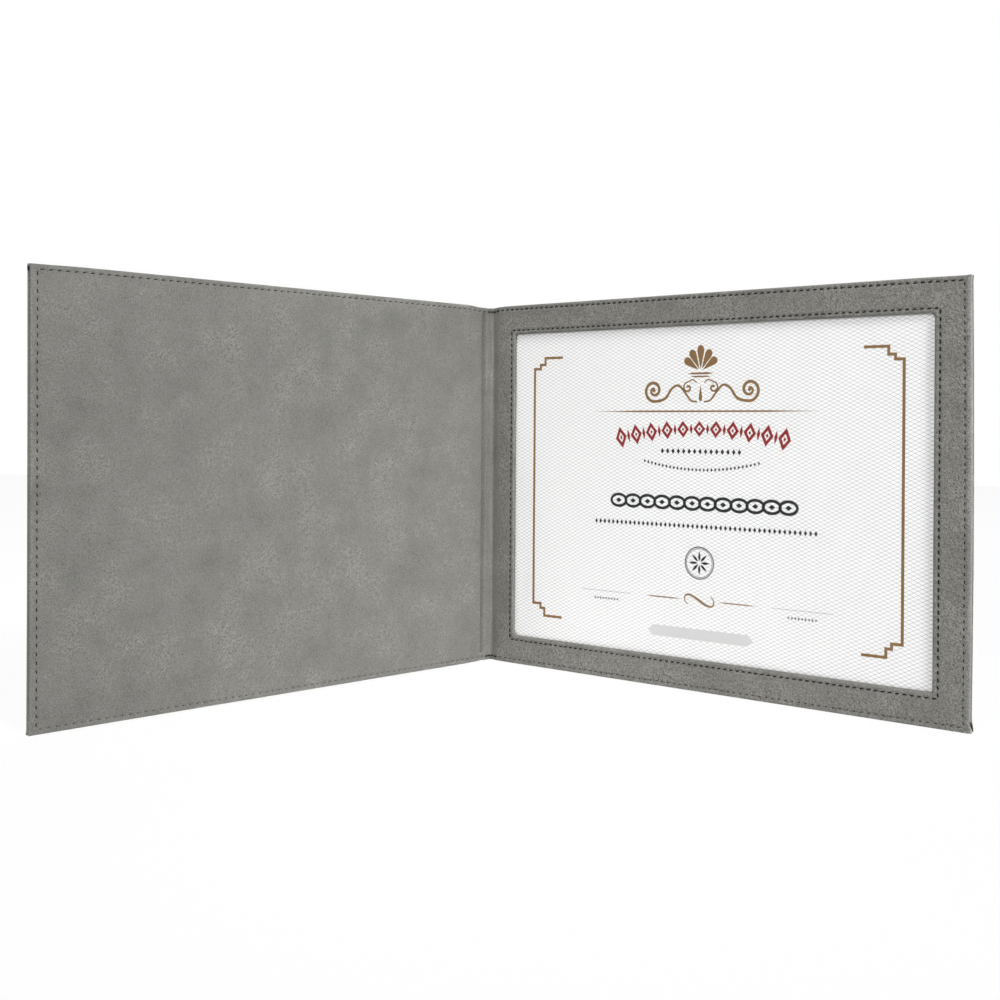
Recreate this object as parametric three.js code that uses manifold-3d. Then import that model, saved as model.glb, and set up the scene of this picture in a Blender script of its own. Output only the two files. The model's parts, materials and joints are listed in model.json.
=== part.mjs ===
// Certificate holder: two leatherette-covered boards joined by a soft spine, standing open like a book.
// The front cover is plain inside. The back cover holds a certificate in a pocket behind a sewn window frame.
// Millimetres, +Z up. The back cover lies along +X with its inner face towards -Y.

import * as THREE from 'three';
import { mergeVertices } from 'three/addons/utils/BufferGeometryUtils.js';
import Module from 'manifold-3d';

// Overall sizes
const HEIGHT = 228.6;
const COVER_REACH = 301.5;
const OPEN_ANGLE = 98.5;

// Layer thicknesses
const LEATHERETTE = 1.0;
const FRAME_LEATHERETTE = 0.8;
const FRONT_BOARD = 2.2;
const BACK_BOARD = 1.8;
const POCKET_SHEET = 0.3;
const PAPER = 0.3;
const CLEAR_SHEET = 0.3;
const FRAME_CARD = 0.7;
const SPINE_CARD = 0.5;
const SPINE_LINING = 0.8;

// Clearance between glued or loose layers, and between the two folded edges of a cover
const GAP = 0.1;

// Folds
const COVER_START = 3.0;
const FRONT_BOARD_START = 8.8;
const STRIP_START = 1.0;
const CLOSED_GAP = 0.9;
const SPINE_DIP = 0.8;
const FOLD_ARC_STEPS = 5;

// Window and pocket
const WINDOW_START = 16.2;
const WINDOW_END = 283.9;
const WINDOW_BORDER = 17.9;
const WINDOW_RADIUS = 2.0;
const WINDOW_ARC_STEPS = 4;
const CERTIFICATE_WIDTH = 279.4;
const CERTIFICATE_HEIGHT = 215.9;
const CLEAR_MARGIN = 2.5;

// Seams
const BORDER_SEAM_INSET = 2.8;
const WINDOW_SEAM_OFFSET = 2.4;
const THREAD_WIDTH = 0.8;
const THREAD_DEPTH = 0.3;
const GROOVE_WIDTH = THREAD_WIDTH + 2 * GAP;
const GROOVE_DEPTH = THREAD_DEPTH + GAP;

// Each fold axis runs at the inner side of the outer leatherette.
const FOLD_LEVEL = LEATHERETTE;
const FOLD_TURN = THREE.MathUtils.degToRad((180 - OPEN_ANGLE) / 2);

// Levels through each thickness, counted inwards from the outer face, as [start, end]
const outerSkin = [0, LEATHERETTE];
const frontBoard = layerOn(outerSkin, FRONT_BOARD);
const frontLining = layerOn(frontBoard, LEATHERETTE);
const backBoard = layerOn(outerSkin, BACK_BOARD);
const pocketSheet = layerOn(backBoard, POCKET_SHEET);
const paperSheet = layerOn(pocketSheet, PAPER);
const clearSheet = layerOn(paperSheet, CLEAR_SHEET);
const frameCard = layerOn(clearSheet, FRAME_CARD);
const frameSkin = layerOn(frameCard, FRAME_LEATHERETTE);
const spineCard = layerOn(outerSkin, SPINE_CARD);
const spineLining = layerOn(spineCard, SPINE_LINING);

// The spine is as wide as the closed stack of both covers between the fold axes.
const SPINE_WIDTH = frontLining[1] + frameSkin[1] - 2 * FOLD_LEVEL + CLOSED_GAP;

const BACK = 1;
const FRONT = -1;

const wasm = await Module();
wasm.setup();

// Layer of a given thickness that lies on the layer below it
function layerOn(below, thickness) {
  const start = below[1] + GAP;
  return [start, start + thickness];
}

// Solids

function toSolid(geometry) {
  const bare = geometry.clone();
  bare.deleteAttribute('normal');
  bare.deleteAttribute('uv');
  const merged = mergeVertices(bare, 1e-4);
  return new wasm.Manifold(new wasm.Mesh({
    numProp: 3,
    vertProperties: new Float32Array(merged.attributes.position.array),
    triVerts: new Uint32Array(merged.index.array),
  }));
}

function toGeometry(solid) {
  const mesh = solid.getMesh();
  const geometry = new THREE.BufferGeometry();
  geometry.setAttribute('position', new THREE.BufferAttribute(mesh.vertProperties, 3));
  geometry.setIndex(new THREE.BufferAttribute(mesh.triVerts, 1));
  geometry.computeVertexNormals();
  return geometry;
}

// Plate with an outline in width and height, filling the given levels of the thickness
function plate(outline, [from, to]) {
  const geometry = new THREE.ExtrudeGeometry(outline, {
    depth: to - from,
    bevelEnabled: false,
    curveSegments: WINDOW_ARC_STEPS,
  });
  geometry.rotateX(Math.PI / 2);
  geometry.translate(0, FOLD_LEVEL - from, 0);
  return geometry;
}

// Upright prism on an outline in plan, between two heights
function prism(points, low, high) {
  const outline = new THREE.Shape(points);
  const geometry = new THREE.ExtrudeGeometry(outline, { depth: high - low, bevelEnabled: false });
  geometry.translate(0, 0, low);
  return geometry;
}

function cut(geometry, ...tools) {
  let solid = toSolid(geometry);
  for (const tool of tools) {
    solid = solid.subtract(toSolid(tool));
  }
  return toGeometry(solid);
}

function join(geometry, ...others) {
  let solid = toSolid(geometry);
  for (const other of others) {
    solid = solid.add(toSolid(other));
  }
  return toGeometry(solid);
}

// Outlines: widths are counted from a fold axis, along +X on the back cover and -X on the front cover

function rectangle(side, start, end, low, high) {
  const shape = new THREE.Shape();
  shape.moveTo(side * start, low);
  shape.lineTo(side * end, low);
  shape.lineTo(side * end, high);
  shape.lineTo(side * start, high);
  shape.closePath();
  return shape;
}

// Cover outline from the spine side to the free edge, drawn in by an inset on its three outer edges
function coverOutline(side, inset, start = COVER_START) {
  return rectangle(side, start, COVER_REACH - inset, inset, HEIGHT - inset);
}

// Window opening grown by an offset, with round corners
function windowOutline(offset) {
  const left = WINDOW_START - offset;
  const right = WINDOW_END + offset;
  const low = WINDOW_BORDER - offset;
  const high = HEIGHT - WINDOW_BORDER + offset;
  const radius = WINDOW_RADIUS + offset;
  const shape = new THREE.Shape();
  shape.moveTo(left + radius, low);
  shape.absarc(right - radius, low + radius, radius, -Math.PI / 2, 0);
  shape.absarc(right - radius, high - radius, radius, 0, Math.PI / 2);
  shape.absarc(left + radius, high - radius, radius, Math.PI / 2, Math.PI);
  shape.absarc(left + radius, low + radius, radius, Math.PI, 1.5 * Math.PI);
  shape.closePath();
  return shape;
}

function windowRing(inner, outer) {
  const shape = windowOutline(outer);
  shape.holes.push(windowOutline(inner));
  return shape;
}

// Band that follows the border seam along the bottom, the free edge and the top of a cover
function seamBand(side, width, start) {
  const near = BORDER_SEAM_INSET - width / 2;
  const far = BORDER_SEAM_INSET + width / 2;
  const shape = new THREE.Shape();
  shape.moveTo(side * start, near);
  shape.lineTo(side * (COVER_REACH - near), near);
  shape.lineTo(side * (COVER_REACH - near), HEIGHT - near);
  shape.lineTo(side * start, HEIGHT - near);
  shape.lineTo(side * start, HEIGHT - far);
  shape.lineTo(side * (COVER_REACH - far), HEIGHT - far);
  shape.lineTo(side * (COVER_REACH - far), far);
  shape.lineTo(side * start, far);
  shape.closePath();
  return shape;
}

// Leatherette tray: a sheet with its three outer edges turned over the board
function tray(side, sheet, turnedTo) {
  const whole = [Math.min(sheet[0], turnedTo), Math.max(sheet[1], turnedTo)];
  const turnsInwards = turnedTo > sheet[1];
  const room = turnsInwards ? [sheet[1], turnedTo + GAP] : [turnedTo - GAP, sheet[0]];
  const roomStart = COVER_START - GAP;
  return cut(
    plate(coverOutline(side, 0), whole),
    plate(coverOutline(side, sheet[1] - sheet[0], roomStart), room),
  );
}

// Groove levels and thread levels at an outer face or an inner face
const outerGroove = [-GAP, GROOVE_DEPTH];
const outerThread = [0, THREAD_DEPTH];

function innerGroove(layer) {
  return [layer[1] - GROOVE_DEPTH, layer[1] + GAP];
}

function innerThread(layer) {
  return [layer[1] - THREAD_DEPTH, layer[1]];
}

// Materials

function finish(color, roughness) {
  return new THREE.MeshStandardMaterial({ color, roughness, metalness: 0 });
}

const leatherette = () => finish('#8c8b86', 0.8);
const thread = () => finish('#2e2e2c', 0.75);
const greyboard = () => finish('#37352f', 0.95);
const card = () => finish('#4c4a45', 0.95);
const pocketCloth = () => finish('#3b3b39', 0.9);
const whitePaper = () => finish('#f3f2ee', 0.85);

function clearPlastic() {
  const material = finish('#eef1f2', 0.12);
  material.transparent = true;
  material.opacity = 0.2;
  return material;
}

function piece(name, geometry, material) {
  const mesh = new THREE.Mesh(geometry, material);
  mesh.name = name;
  return mesh;
}

// Covers

// Board between the two leatherette layers of a cover
function board(name, side, levels, start) {
  return piece(name, plate(coverOutline(side, LEATHERETTE + GAP, start), levels), greyboard());
}

// Outer leatherette, turned in to half the cover's thickness, with the groove of the border seam
function outerCover(name, side, turnedTo) {
  const groove = plate(seamBand(side, GROOVE_WIDTH, COVER_START - GAP), outerGroove);
  return piece(name, cut(tray(side, outerSkin, turnedTo), groove), leatherette());
}

function borderThread(name, side, levels) {
  return piece(name, plate(seamBand(side, THREAD_WIDTH, COVER_START), levels), thread());
}

function frontCover() {
  const cover = new THREE.Group();
  const middle = frontLining[1] / 2;
  const groove = plate(seamBand(FRONT, GROOVE_WIDTH, COVER_START - GAP), innerGroove(frontLining));
  const lining = cut(tray(FRONT, frontLining, middle + GAP / 2), groove);
  cover.add(
    outerCover('front_outer_cover', FRONT, middle - GAP / 2),
    board('front_board', FRONT, frontBoard, FRONT_BOARD_START),
    piece('front_lining', lining, leatherette()),
    borderThread('front_border_needle_thread', FRONT, innerThread(frontLining)),
    borderThread('front_border_bobbin_thread', FRONT, outerThread),
  );
  return cover;
}

// Frame leatherette: sewn to the cover round its outer edge, and turned down round the window
function windowFrame(turnedTo) {
  const lipOutline = windowRing(0, FRAME_LEATHERETTE);
  const lipLevels = [frameCard[0], frameSkin[1]];
  const opening = plate(windowOutline(0), [frameCard[0], frameSkin[1] + GAP]);
  const border = plate(seamBand(BACK, GROOVE_WIDTH, COVER_START - GAP), innerGroove(frameSkin));
  const windowGroove = plate(
    windowRing(WINDOW_SEAM_OFFSET - GROOVE_WIDTH / 2, WINDOW_SEAM_OFFSET + GROOVE_WIDTH / 2),
    innerGroove(frameSkin),
  );
  const sheet = cut(tray(BACK, frameSkin, turnedTo), opening, border, windowGroove);
  return piece('window_frame', join(sheet, plate(lipOutline, lipLevels)), leatherette());
}

// Card that keeps the frame flat, inside the turned edges, with a groove below for the window seam
function frameStiffener() {
  const outline = coverOutline(BACK, FRAME_LEATHERETTE + GAP);
  outline.holes.push(windowOutline(FRAME_LEATHERETTE + GAP));
  const groove = plate(
    windowRing(WINDOW_SEAM_OFFSET - GROOVE_WIDTH / 2, WINDOW_SEAM_OFFSET + GROOVE_WIDTH / 2),
    [frameCard[0] - GAP, frameCard[0] + GROOVE_DEPTH],
  );
  return piece('frame_stiffener', cut(plate(outline, frameCard), groove), card());
}

function windowThread(name, levels) {
  const ring = windowRing(WINDOW_SEAM_OFFSET - THREAD_WIDTH / 2, WINDOW_SEAM_OFFSET + THREAD_WIDTH / 2);
  return piece(name, plate(ring, levels), thread());
}

// Loose sheet in the pocket, centred behind the window
function pocketPiece(name, width, height, levels, material) {
  const centre = (WINDOW_START + WINDOW_END) / 2;
  const low = (HEIGHT - height) / 2;
  const outline = rectangle(BACK, centre - width / 2, centre + width / 2, low, low + height);
  return piece(name, plate(outline, levels), material);
}

function backCover() {
  const cover = new THREE.Group();
  const middle = pocketSheet[0];
  const clearWidth = CERTIFICATE_WIDTH + CLEAR_MARGIN;
  const clearHeight = CERTIFICATE_HEIGHT + CLEAR_MARGIN;
  const backing = plate(coverOutline(BACK, LEATHERETTE + GAP), pocketSheet);
  cover.add(
    outerCover('back_outer_cover', BACK, middle - GAP),
    board('back_board', BACK, backBoard, COVER_START),
    piece('pocket_backing', backing, pocketCloth()),
    pocketPiece('certificate', CERTIFICATE_WIDTH, CERTIFICATE_HEIGHT, paperSheet, whitePaper()),
    pocketPiece('clear_window_sheet', clearWidth, clearHeight, clearSheet, clearPlastic()),
    frameStiffener(),
    windowFrame(middle),
    windowThread('window_needle_thread', innerThread(frameSkin)),
    windowThread('window_bobbin_thread', [frameCard[0], frameCard[0] + THREAD_DEPTH]),
    borderThread('back_border_needle_thread', BACK, innerThread(frameSkin)),
    borderThread('back_border_bobbin_thread', BACK, outerThread),
  );
  return cover;
}

// Spine: its width runs along -X from the back fold axis to the front fold axis

function spineStrip(name, levels, grooveLevels, material) {
  const outline = rectangle(FRONT, STRIP_START, SPINE_WIDTH - STRIP_START, SPINE_DIP, HEIGHT - SPINE_DIP);
  const grooves = grooveLevels ? spineSeams(GROOVE_WIDTH, GAP).map((seam) => plate(seam, grooveLevels)) : [];
  return piece(name, cut(plate(outline, levels), ...grooves), material);
}

// Bottom and top run of the border seam where it crosses the spine
function spineSeams(width, overrun) {
  return [BORDER_SEAM_INSET, HEIGHT - BORDER_SEAM_INSET].map((height) => rectangle(
    FRONT,
    STRIP_START - overrun,
    SPINE_WIDTH - STRIP_START + overrun,
    height - width / 2,
    height + width / 2,
  ));
}

// Leatherette in a fold, bent as the holder stands, from a cover's layer to the spine's layer.
// A layer that reaches the fold axis goes round it in an arc, and one inside the fold runs straight.
function foldWeb(name, side, coverLevels, spineLevels) {
  const onCover = (width, level) => new THREE.Vector2(width, FOLD_LEVEL - level)
    .rotateAround(new THREE.Vector2(), -FOLD_TURN);
  const onSpine = (width, level) => new THREE.Vector2(-width, FOLD_LEVEL - level);
  const coverEnd = COVER_START - GAP;
  const spineEnd = STRIP_START - GAP;
  const bend = [];
  if (coverLevels[0] < FOLD_LEVEL) {
    for (let step = 0; step <= FOLD_ARC_STEPS; step += 1) {
      const angle = Math.PI / 2 - FOLD_TURN * (1 - step / FOLD_ARC_STEPS);
      bend.push(new THREE.Vector2(Math.cos(angle), Math.sin(angle)).multiplyScalar(FOLD_LEVEL));
    }
  }
  const points = [
    onCover(coverEnd, coverLevels[1]),
    onCover(coverEnd, coverLevels[0]),
    ...bend,
    onSpine(spineEnd, spineLevels[0]),
    onSpine(spineEnd, spineLevels[1]),
  ];
  const placed = points.map((point) => (
    side === BACK ? point : new THREE.Vector2(-SPINE_WIDTH - point.x, point.y)
  ));
  return piece(name, prism(placed, SPINE_DIP, HEIGHT - SPINE_DIP), leatherette());
}

function spine() {
  const strip = new THREE.Group();
  const [bottomSeam, topSeam] = spineSeams(THREAD_WIDTH, 0);
  const webOuter = [outerSkin[0], outerSkin[1] - GAP];
  const webAtPocket = [backBoard[1] - SPINE_LINING, backBoard[1]];
  strip.add(
    spineStrip('spine_outer_strip', outerSkin, outerGroove, leatherette()),
    spineStrip('spine_stiffener', spineCard, null, card()),
    spineStrip('spine_lining', spineLining, innerGroove(spineLining), leatherette()),
    piece('spine_top_needle_thread', plate(topSeam, innerThread(spineLining)), thread()),
    piece('spine_top_bobbin_thread', plate(topSeam, outerThread), thread()),
    piece('spine_bottom_needle_thread', plate(bottomSeam, innerThread(spineLining)), thread()),
    piece('spine_bottom_bobbin_thread', plate(bottomSeam, outerThread), thread()),
    foldWeb('front_fold_outer', FRONT, webOuter, webOuter),
    foldWeb('front_fold_lining', FRONT, frontLining, spineLining),
    foldWeb('back_fold_outer', BACK, webOuter, webOuter),
    foldWeb('back_fold_lining', BACK, webAtPocket, spineLining),
  );
  return strip;
}

// Assembly: the spine turns on the back cover's fold axis, and the front cover on the spine's far fold axis.
// The origin is under the middle of the standing holder.
function assemble() {
  const holder = new THREE.Group();
  const standing = new THREE.Group();
  const turningSpine = spine();
  const turningFront = frontCover();
  turningSpine.rotation.z = FOLD_TURN;
  turningFront.position.x = -SPINE_WIDTH;
  turningFront.rotation.z = FOLD_TURN;
  turningSpine.add(turningFront);
  standing.add(backCover(), turningSpine);
  const middle = new THREE.Box3().setFromObject(standing, true).getCenter(new THREE.Vector3());
  standing.position.set(-middle.x, -middle.y, 0);
  holder.add(standing);
  return holder;
}

export default assemble();
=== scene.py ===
import json
import math
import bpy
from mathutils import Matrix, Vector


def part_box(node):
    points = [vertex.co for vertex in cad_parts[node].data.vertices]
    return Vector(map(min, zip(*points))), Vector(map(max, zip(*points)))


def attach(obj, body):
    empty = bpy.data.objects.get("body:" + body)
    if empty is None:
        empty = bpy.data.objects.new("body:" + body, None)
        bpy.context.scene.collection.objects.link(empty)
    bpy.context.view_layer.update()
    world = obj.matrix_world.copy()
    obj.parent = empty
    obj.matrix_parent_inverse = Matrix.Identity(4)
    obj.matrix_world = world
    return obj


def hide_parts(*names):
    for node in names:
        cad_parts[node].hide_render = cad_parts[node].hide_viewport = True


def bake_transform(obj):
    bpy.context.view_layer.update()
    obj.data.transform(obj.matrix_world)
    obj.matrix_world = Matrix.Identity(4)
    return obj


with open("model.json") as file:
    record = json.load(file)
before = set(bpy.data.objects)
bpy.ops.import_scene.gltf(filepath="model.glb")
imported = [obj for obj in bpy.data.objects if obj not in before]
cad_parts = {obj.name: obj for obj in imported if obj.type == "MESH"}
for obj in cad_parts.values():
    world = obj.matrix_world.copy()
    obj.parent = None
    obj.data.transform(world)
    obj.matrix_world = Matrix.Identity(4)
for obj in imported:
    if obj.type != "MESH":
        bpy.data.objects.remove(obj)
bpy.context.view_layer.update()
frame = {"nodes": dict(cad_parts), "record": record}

from types import SimpleNamespace

import bmesh
import bpy
import numpy as np
from mathutils import Matrix, Vector

# Leatherette certificate holder, standing open. Sizes are in millimetres until placed in the frame.
# On a cover, width counts from its fold axis, level inwards from its outer face, height from the table.

MM = 0.001


# Sizes read from the frame

def joint(name):
    return next(j for j in frame["record"]["behaviour"]["joints"] if j["name"] == name)


def low(node):
    return np.array(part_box(node)[0]) / MM


def high(node):
    return np.array(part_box(node)[1]) / MM


BACK_AXIS = np.array(joint("spine_fold")["pos_m"][:2]) / MM
FRONT_AXIS = np.array(joint("cover_fold")["pos_m"][:2]) / MM
FOLD_TURN = -math.radians(joint("spine_fold")["range_deg"][0])
OUTER_FACE = high("back_outer_cover")[1]
FOLD_LEVEL = OUTER_FACE - BACK_AXIS[1]
HEIGHT = high("back_outer_cover")[2]
REACH = high("back_outer_cover")[0] - BACK_AXIS[0]
COVER_START = low("back_outer_cover")[0] - BACK_AXIS[0]
BACK_THICKNESS = OUTER_FACE - low("window_frame")[1]
CLEAR_LEVEL = OUTER_FACE - low("clear_window_sheet")[1]
PAPER_LEVEL = OUTER_FACE - low("certificate")[1]

# Layers
FRONT_THICKNESS = 4.4
FRONT_PARTING = 3.25
BACK_PARTING = 1.7
LEATHERETTE = 1.0
FRAME_LEATHERETTE = 0.8
LAYER_GAP = 0.1

# Seams, with the size of the stitches on the bottom, the free edge and the top of a cover
BORDER_SEAM = 2.6
FRONT_EDGE_SEAM = 3.5
BACK_EDGE_SEAM = 2.9
WINDOW_SEAM = 3.0
WINDOW_TOP_SEAM = 2.4
FRONT_PITCH = 4.3
BACK_PITCH = 3.9
WINDOW_PITCH = 3.8
FRONT_SIZES = (0.6, 0.9, 0.95)
BACK_SIZES = (0.65, 0.7, 0.95)
FOLD_COUNT = 2

# Stitches: thread radius, height of the arch, slant in degrees, turns of the twist, lengths and mesh
FRONT_THREAD = 0.33
BACK_THREAD = 0.47
STITCH_RISE = 0.3
STITCH_SLANT = 10.0
STITCH_TURNS = 1.5
STITCH_SHARE = 0.54
STITCH_SINK = 0.3
FOLD_STITCH = 2.2
GUTTER_STITCH = 1.6
SLANT_SPREAD = (0.5, 1.5)
THREAD_SECTION = (1.15, 0.8, 1.0)
THREAD_SIDES = 6
ARCH_POINTS = 8
RUN_POINTS = 48
FOLD_RUN_POINTS = 20

# Window opening inside its thread ring, where the turned leatherette creeps off the frame card's edge
RING_INSET = 2.4
RING_THREAD = 0.8
RING = RING_INSET + RING_THREAD / 2
CREEP_LEFT = 0.6
CREEP_RIGHT = 0.65
CREEP_LOW = 0.1
CREEP_HIGH = 0.4
WINDOW_LEFT = low("window_needle_thread")[0] - BACK_AXIS[0] + RING - CREEP_LEFT
WINDOW_RIGHT = high("window_needle_thread")[0] - BACK_AXIS[0] - RING - CREEP_RIGHT
WINDOW_LOW = low("window_needle_thread")[2] + RING + CREEP_LOW
WINDOW_HIGH = high("window_needle_thread")[2] - RING - CREEP_HIGH
WINDOW_RADII = {(0, 0): 4.0, (0, 1): 1.2, (1, 0): 1.2, (1, 1): 3.0}
WARP_REACH = 6
LIP_STAND = 0.3
LIP_TURN = 0.15

# Rolled edges, and how far each step of a turned edge goes in while a share of its roll is left
FRAME_ROLL = 1.5
OUTER_ROLL = 0.95
LINING_ROLL = 0.7
LOWER_ROLL = 0.3
LIP_ROLL = 1.4
PARTING_ROLL = 0.9
FRONT_PARTING_ROLL = 0.25
FRONT_PARTING_GAP = 0.95
TURN_STEPS = [(0, 1.0), (0.12, 0.5), (0.4, 0.2)]

# Seam furrows, and the leatherette that puffs up beside them
SEAM_DEPTH = 0.6
SEAM_BRIDGE = 0.8
SEAM_SPREAD = 0.55
SEAM_END = 0.8
SEAM_PUFF = 0.11
PUFF_OFFSET = 1.6
PUFF_SPREAD = 0.9
PUFF_DROP = 0.6

# Crease and bead beside the front board
CREASE_WIDTH = 7.1
CREASE_DEPTH = 2.5
CREASE_ROLL = 0.4
CREASE_SHEER = 0.06
CREASE_FADE = 4
CREASE_AT_SEAM = 0.15
BEAD_RADIUS = 1.2
BEAD_SLOPE = math.radians(50)

# Soft spine
GUTTER_WIDTH = -2.2
GUTTER_SINK = 0.05
GUTTER_FILLET = 1.8
FRAME_START = 2.0
FRAME_START_ROLL = 4.0
SPINE_FILLET = 4.0
ARC_STEPS = 9
GUTTER_MIDDLE = 6
FOLD_SAMPLES = 24
FOLD_ROW = 4.0

# Dip of the upper edge near the spine: its amount, and the widths where it starts and ends
FRONT_DIP = (0.9, 6, 20)
BACK_DIP = (0.6, -4, 8)
SPINE_DIP = 0.7
LOWER_DIP = 0.3

# Hand-made unevenness of the glued sheets and the turned edges
SWELL = 0.05
SWELL_MARGIN = 3
SWELL_FADE = 12
SWELL_LONG = (31, 27)
SWELL_SHORT = (17, 23)
SWELL_PHASE = (1.3, 0.4)
SWELL_SHARE = 0.6
LEAN_RUN = 14
FALL_RUN = 30
RISE_RUN = 8
TIP_SPREAD = 9
TIP_RISE = 0.8
# Near-black slivers at gaping mitred corners, painted shade of the gaps: their width, stand off the edge and
# shape
SLIT_WIDTH = 2.4
SLIT_STAND = 0.12
SLIT_POINTS = 9
SLIT_TIP = 0.03
SLIT_LEAN = 1.4
SLIT_BLUNTNESS = 0.6
FRONT_SLIT = ((0.9, HEIGHT - 0.9), (3.0, HEIGHT - 3.6))
BACK_SLIT = ((4.5, 5.8), (1.5, 1.0))

# Mesh grids
FINE = 0.7
COARSE_STEP = 8
SPINE_MARGIN = 12
EDGE_MARGIN = 10
LINE_CLEARANCE = 0.2
WELD = 1e-6
EDGE_LINES = [0, 0.06, 0.2, 0.4, 0.68, 1.0, 1.35]
SEAM_LINES = [-1.9, -1.3, -0.85, -0.55, -0.28, 0, 0.28, 0.55, 0.85, 1.3, 1.9]
LIP_LINES = [0, 0.05, 0.15, 0.32, 0.6, 0.95, 1.4]
CREASE_LINES = [-4.1, -3.87, -3.64, -3.41, -3.18, -2.75, -2.3, -1.87, -1.44, -0.75, -0.06,
                0, 0.05, 0.12, 0.25, 0.4, 0.85, 0.9]


def placer(axis, turn, side):
    """Function that puts widths, levels and heights on a cover or the spine into the frame, in metres."""
    along = side * np.array([math.cos(turn), math.sin(turn)])
    inwards = np.array([math.sin(turn), -math.cos(turn)])

    def place(width, level, height):
        width, level, height = np.broadcast_arrays(width, level, height)
        plan = axis + width[..., None] * along + (level[..., None] - FOLD_LEVEL) * inwards
        return np.concatenate([plan, height[..., None]], axis=-1) * MM

    place.along = np.append(along, 0)
    place.inwards = np.append(inwards, 0)
    return place


on_back = placer(BACK_AXIS, 0, 1)
on_spine = placer(BACK_AXIS, FOLD_TURN, -1)
on_front = placer(FRONT_AXIS, 2 * FOLD_TURN, -1)


def smoothstep(value):
    value = np.clip(value, 0, 1)
    return value * value * (3 - 2 * value)


def unit(rows):
    return rows / np.linalg.norm(rows, axis=1)[:, None]


def left_of(steps):
    """Unit normals to the left of steps in a plane."""
    steps = unit(steps)
    return np.stack([-steps[:, 1], steps[:, 0]], axis=1)


def dip(width, amount, start, end):
    """How far the soft edge near the spine falls back from the cover's straight edge."""
    return amount * (1 - smoothstep((width - start) / (end - start)))


def front_dip(width):
    return dip(width, *FRONT_DIP)


def back_dip(width):
    return dip(width, *BACK_DIP)


def squeeze(height, drop):
    """Heights drawn in by the drop of the upper edge, and by a smaller one of the lower edge."""
    lower = LOWER_DIP * drop
    return lower + height * (1 - (drop + lower) / HEIGHT)


# Seams

class SeamRun:
    """One straight run of stitches on a flat face, between two widths and heights, drawn to a size."""

    def __init__(self, start, end, pitch, size=1.0):
        self.start = np.array(start, float)
        self.end = np.array(end, float)
        self.length = float(np.linalg.norm(self.end - self.start))
        self.along = (self.end - self.start) / self.length
        self.count = max(1, round(self.length / pitch))
        self.step = self.length / self.count
        self.size = size

    def relief(self, width, height):
        """Depth of the seam's furrow: deepest under each stitch, shallow on the bridge between two."""
        across = (width - self.start[0]) * self.along[1] - (height - self.start[1]) * self.along[0]
        along = (width - self.start[0]) * self.along[0] + (height - self.start[1]) * self.along[1]
        bridge = (0.5 + 0.5 * np.cos(2 * math.pi * along / self.step)) ** 2
        inside = smoothstep(along / SEAM_END + 0.5) * smoothstep((self.length - along) / SEAM_END + 0.5)
        furrow = np.exp(-((across / SEAM_SPREAD) ** 2)) * (SEAM_DEPTH - SEAM_BRIDGE * bridge)
        beside = (np.abs(across) - PUFF_OFFSET) / PUFF_SPREAD
        puff = np.exp(-(beside ** 2)) * SEAM_PUFF * (1 - PUFF_DROP * bridge)
        return self.size * inside * (furrow - puff)


def border_runs(pitch, edge_seam, sizes):
    """Seam runs along the bottom, the free edge and the top of a cover."""
    near, far = BORDER_SEAM, REACH - edge_seam
    top = HEIGHT - BORDER_SEAM
    return [
        SeamRun((COVER_START, near), (far, near), pitch, sizes[0]),
        SeamRun((far, near), (far, top), pitch, sizes[1]),
        SeamRun((COVER_START, top), (far, top), pitch, sizes[2]),
    ]


def window_runs():
    left, right = WINDOW_LEFT - WINDOW_SEAM, WINDOW_RIGHT + WINDOW_SEAM
    bottom, top = WINDOW_LOW - WINDOW_SEAM, WINDOW_HIGH + WINDOW_TOP_SEAM
    return [
        SeamRun((left, bottom), (right, bottom), WINDOW_PITCH),
        SeamRun((right, bottom), (right, top), WINDOW_PITCH),
        SeamRun((left, top), (right, top), WINDOW_PITCH),
        SeamRun((left, bottom), (left, top), WINDOW_PITCH),
    ]


FRONT_RUNS = border_runs(FRONT_PITCH, FRONT_EDGE_SEAM, FRONT_SIZES)
BACK_RUNS = border_runs(BACK_PITCH, BACK_EDGE_SEAM, BACK_SIZES)
WINDOW_RUNS = window_runs()


# Mesh helpers

def grid_lines(start, end, spacing, close):
    """Even lines from start to end, with the close ones put in place of the even ones beside them."""
    close = sorted(line for line in close if start <= line <= end)
    even = np.linspace(start, end, max(2, round((end - start) / spacing) + 1))
    kept = [line for line in even if not close or min(abs(line - mark) for mark in close) > LINE_CLEARANCE]
    return np.array(sorted(set(np.round(close + kept + [start, end], 6))))


def grid_faces(columns, rows, block, merge):
    """Quads of a grid, whose block of cells is left out, or merged into larger faces by merge."""
    first, last, bottom, top = block
    faces = []

    def at(column, row):
        return column * rows + row

    for column in range(columns - 1):
        for row in range(rows - 1):
            if first <= column < last and bottom <= row < top:
                continue
            faces.append((at(column, row), at(column + 1, row), at(column + 1, row + 1), at(column, row + 1)))
    if not merge:
        return faces
    for column in range(first, last, merge):
        for row in range(bottom, top, merge):
            right, above = column + merge, row + merge
            edge = range(merge)
            face = [at(column + e, row) for e in edge] if row == bottom else [at(column, row)]
            face += [at(right, row + e) for e in edge] if right == last else [at(right, row)]
            face += [at(right - e, above) for e in edge] if above == top else [at(right, above)]
            face += [at(column, above - e) for e in edge] if column == first else [at(column, above)]
            faces.append(face)
    return faces


def inner_block(lines, margin_low, margin_high, merge):
    """First and last of the lines further than the margins from the ends, a multiple of merge apart."""
    first = int(np.searchsorted(lines, lines[0] + margin_low))
    last = int(np.searchsorted(lines, lines[-1] - margin_high))
    return first, last - (last - first) % merge


def rim(columns, rows):
    """Indices round the outside of a grid."""
    loop = [column * rows for column in range(columns)]
    loop += [(columns - 1) * rows + row for row in range(1, rows)]
    loop += [column * rows + rows - 1 for column in range(columns - 2, -1, -1)]
    loop += list(range(rows - 2, 0, -1))
    return loop


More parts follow.
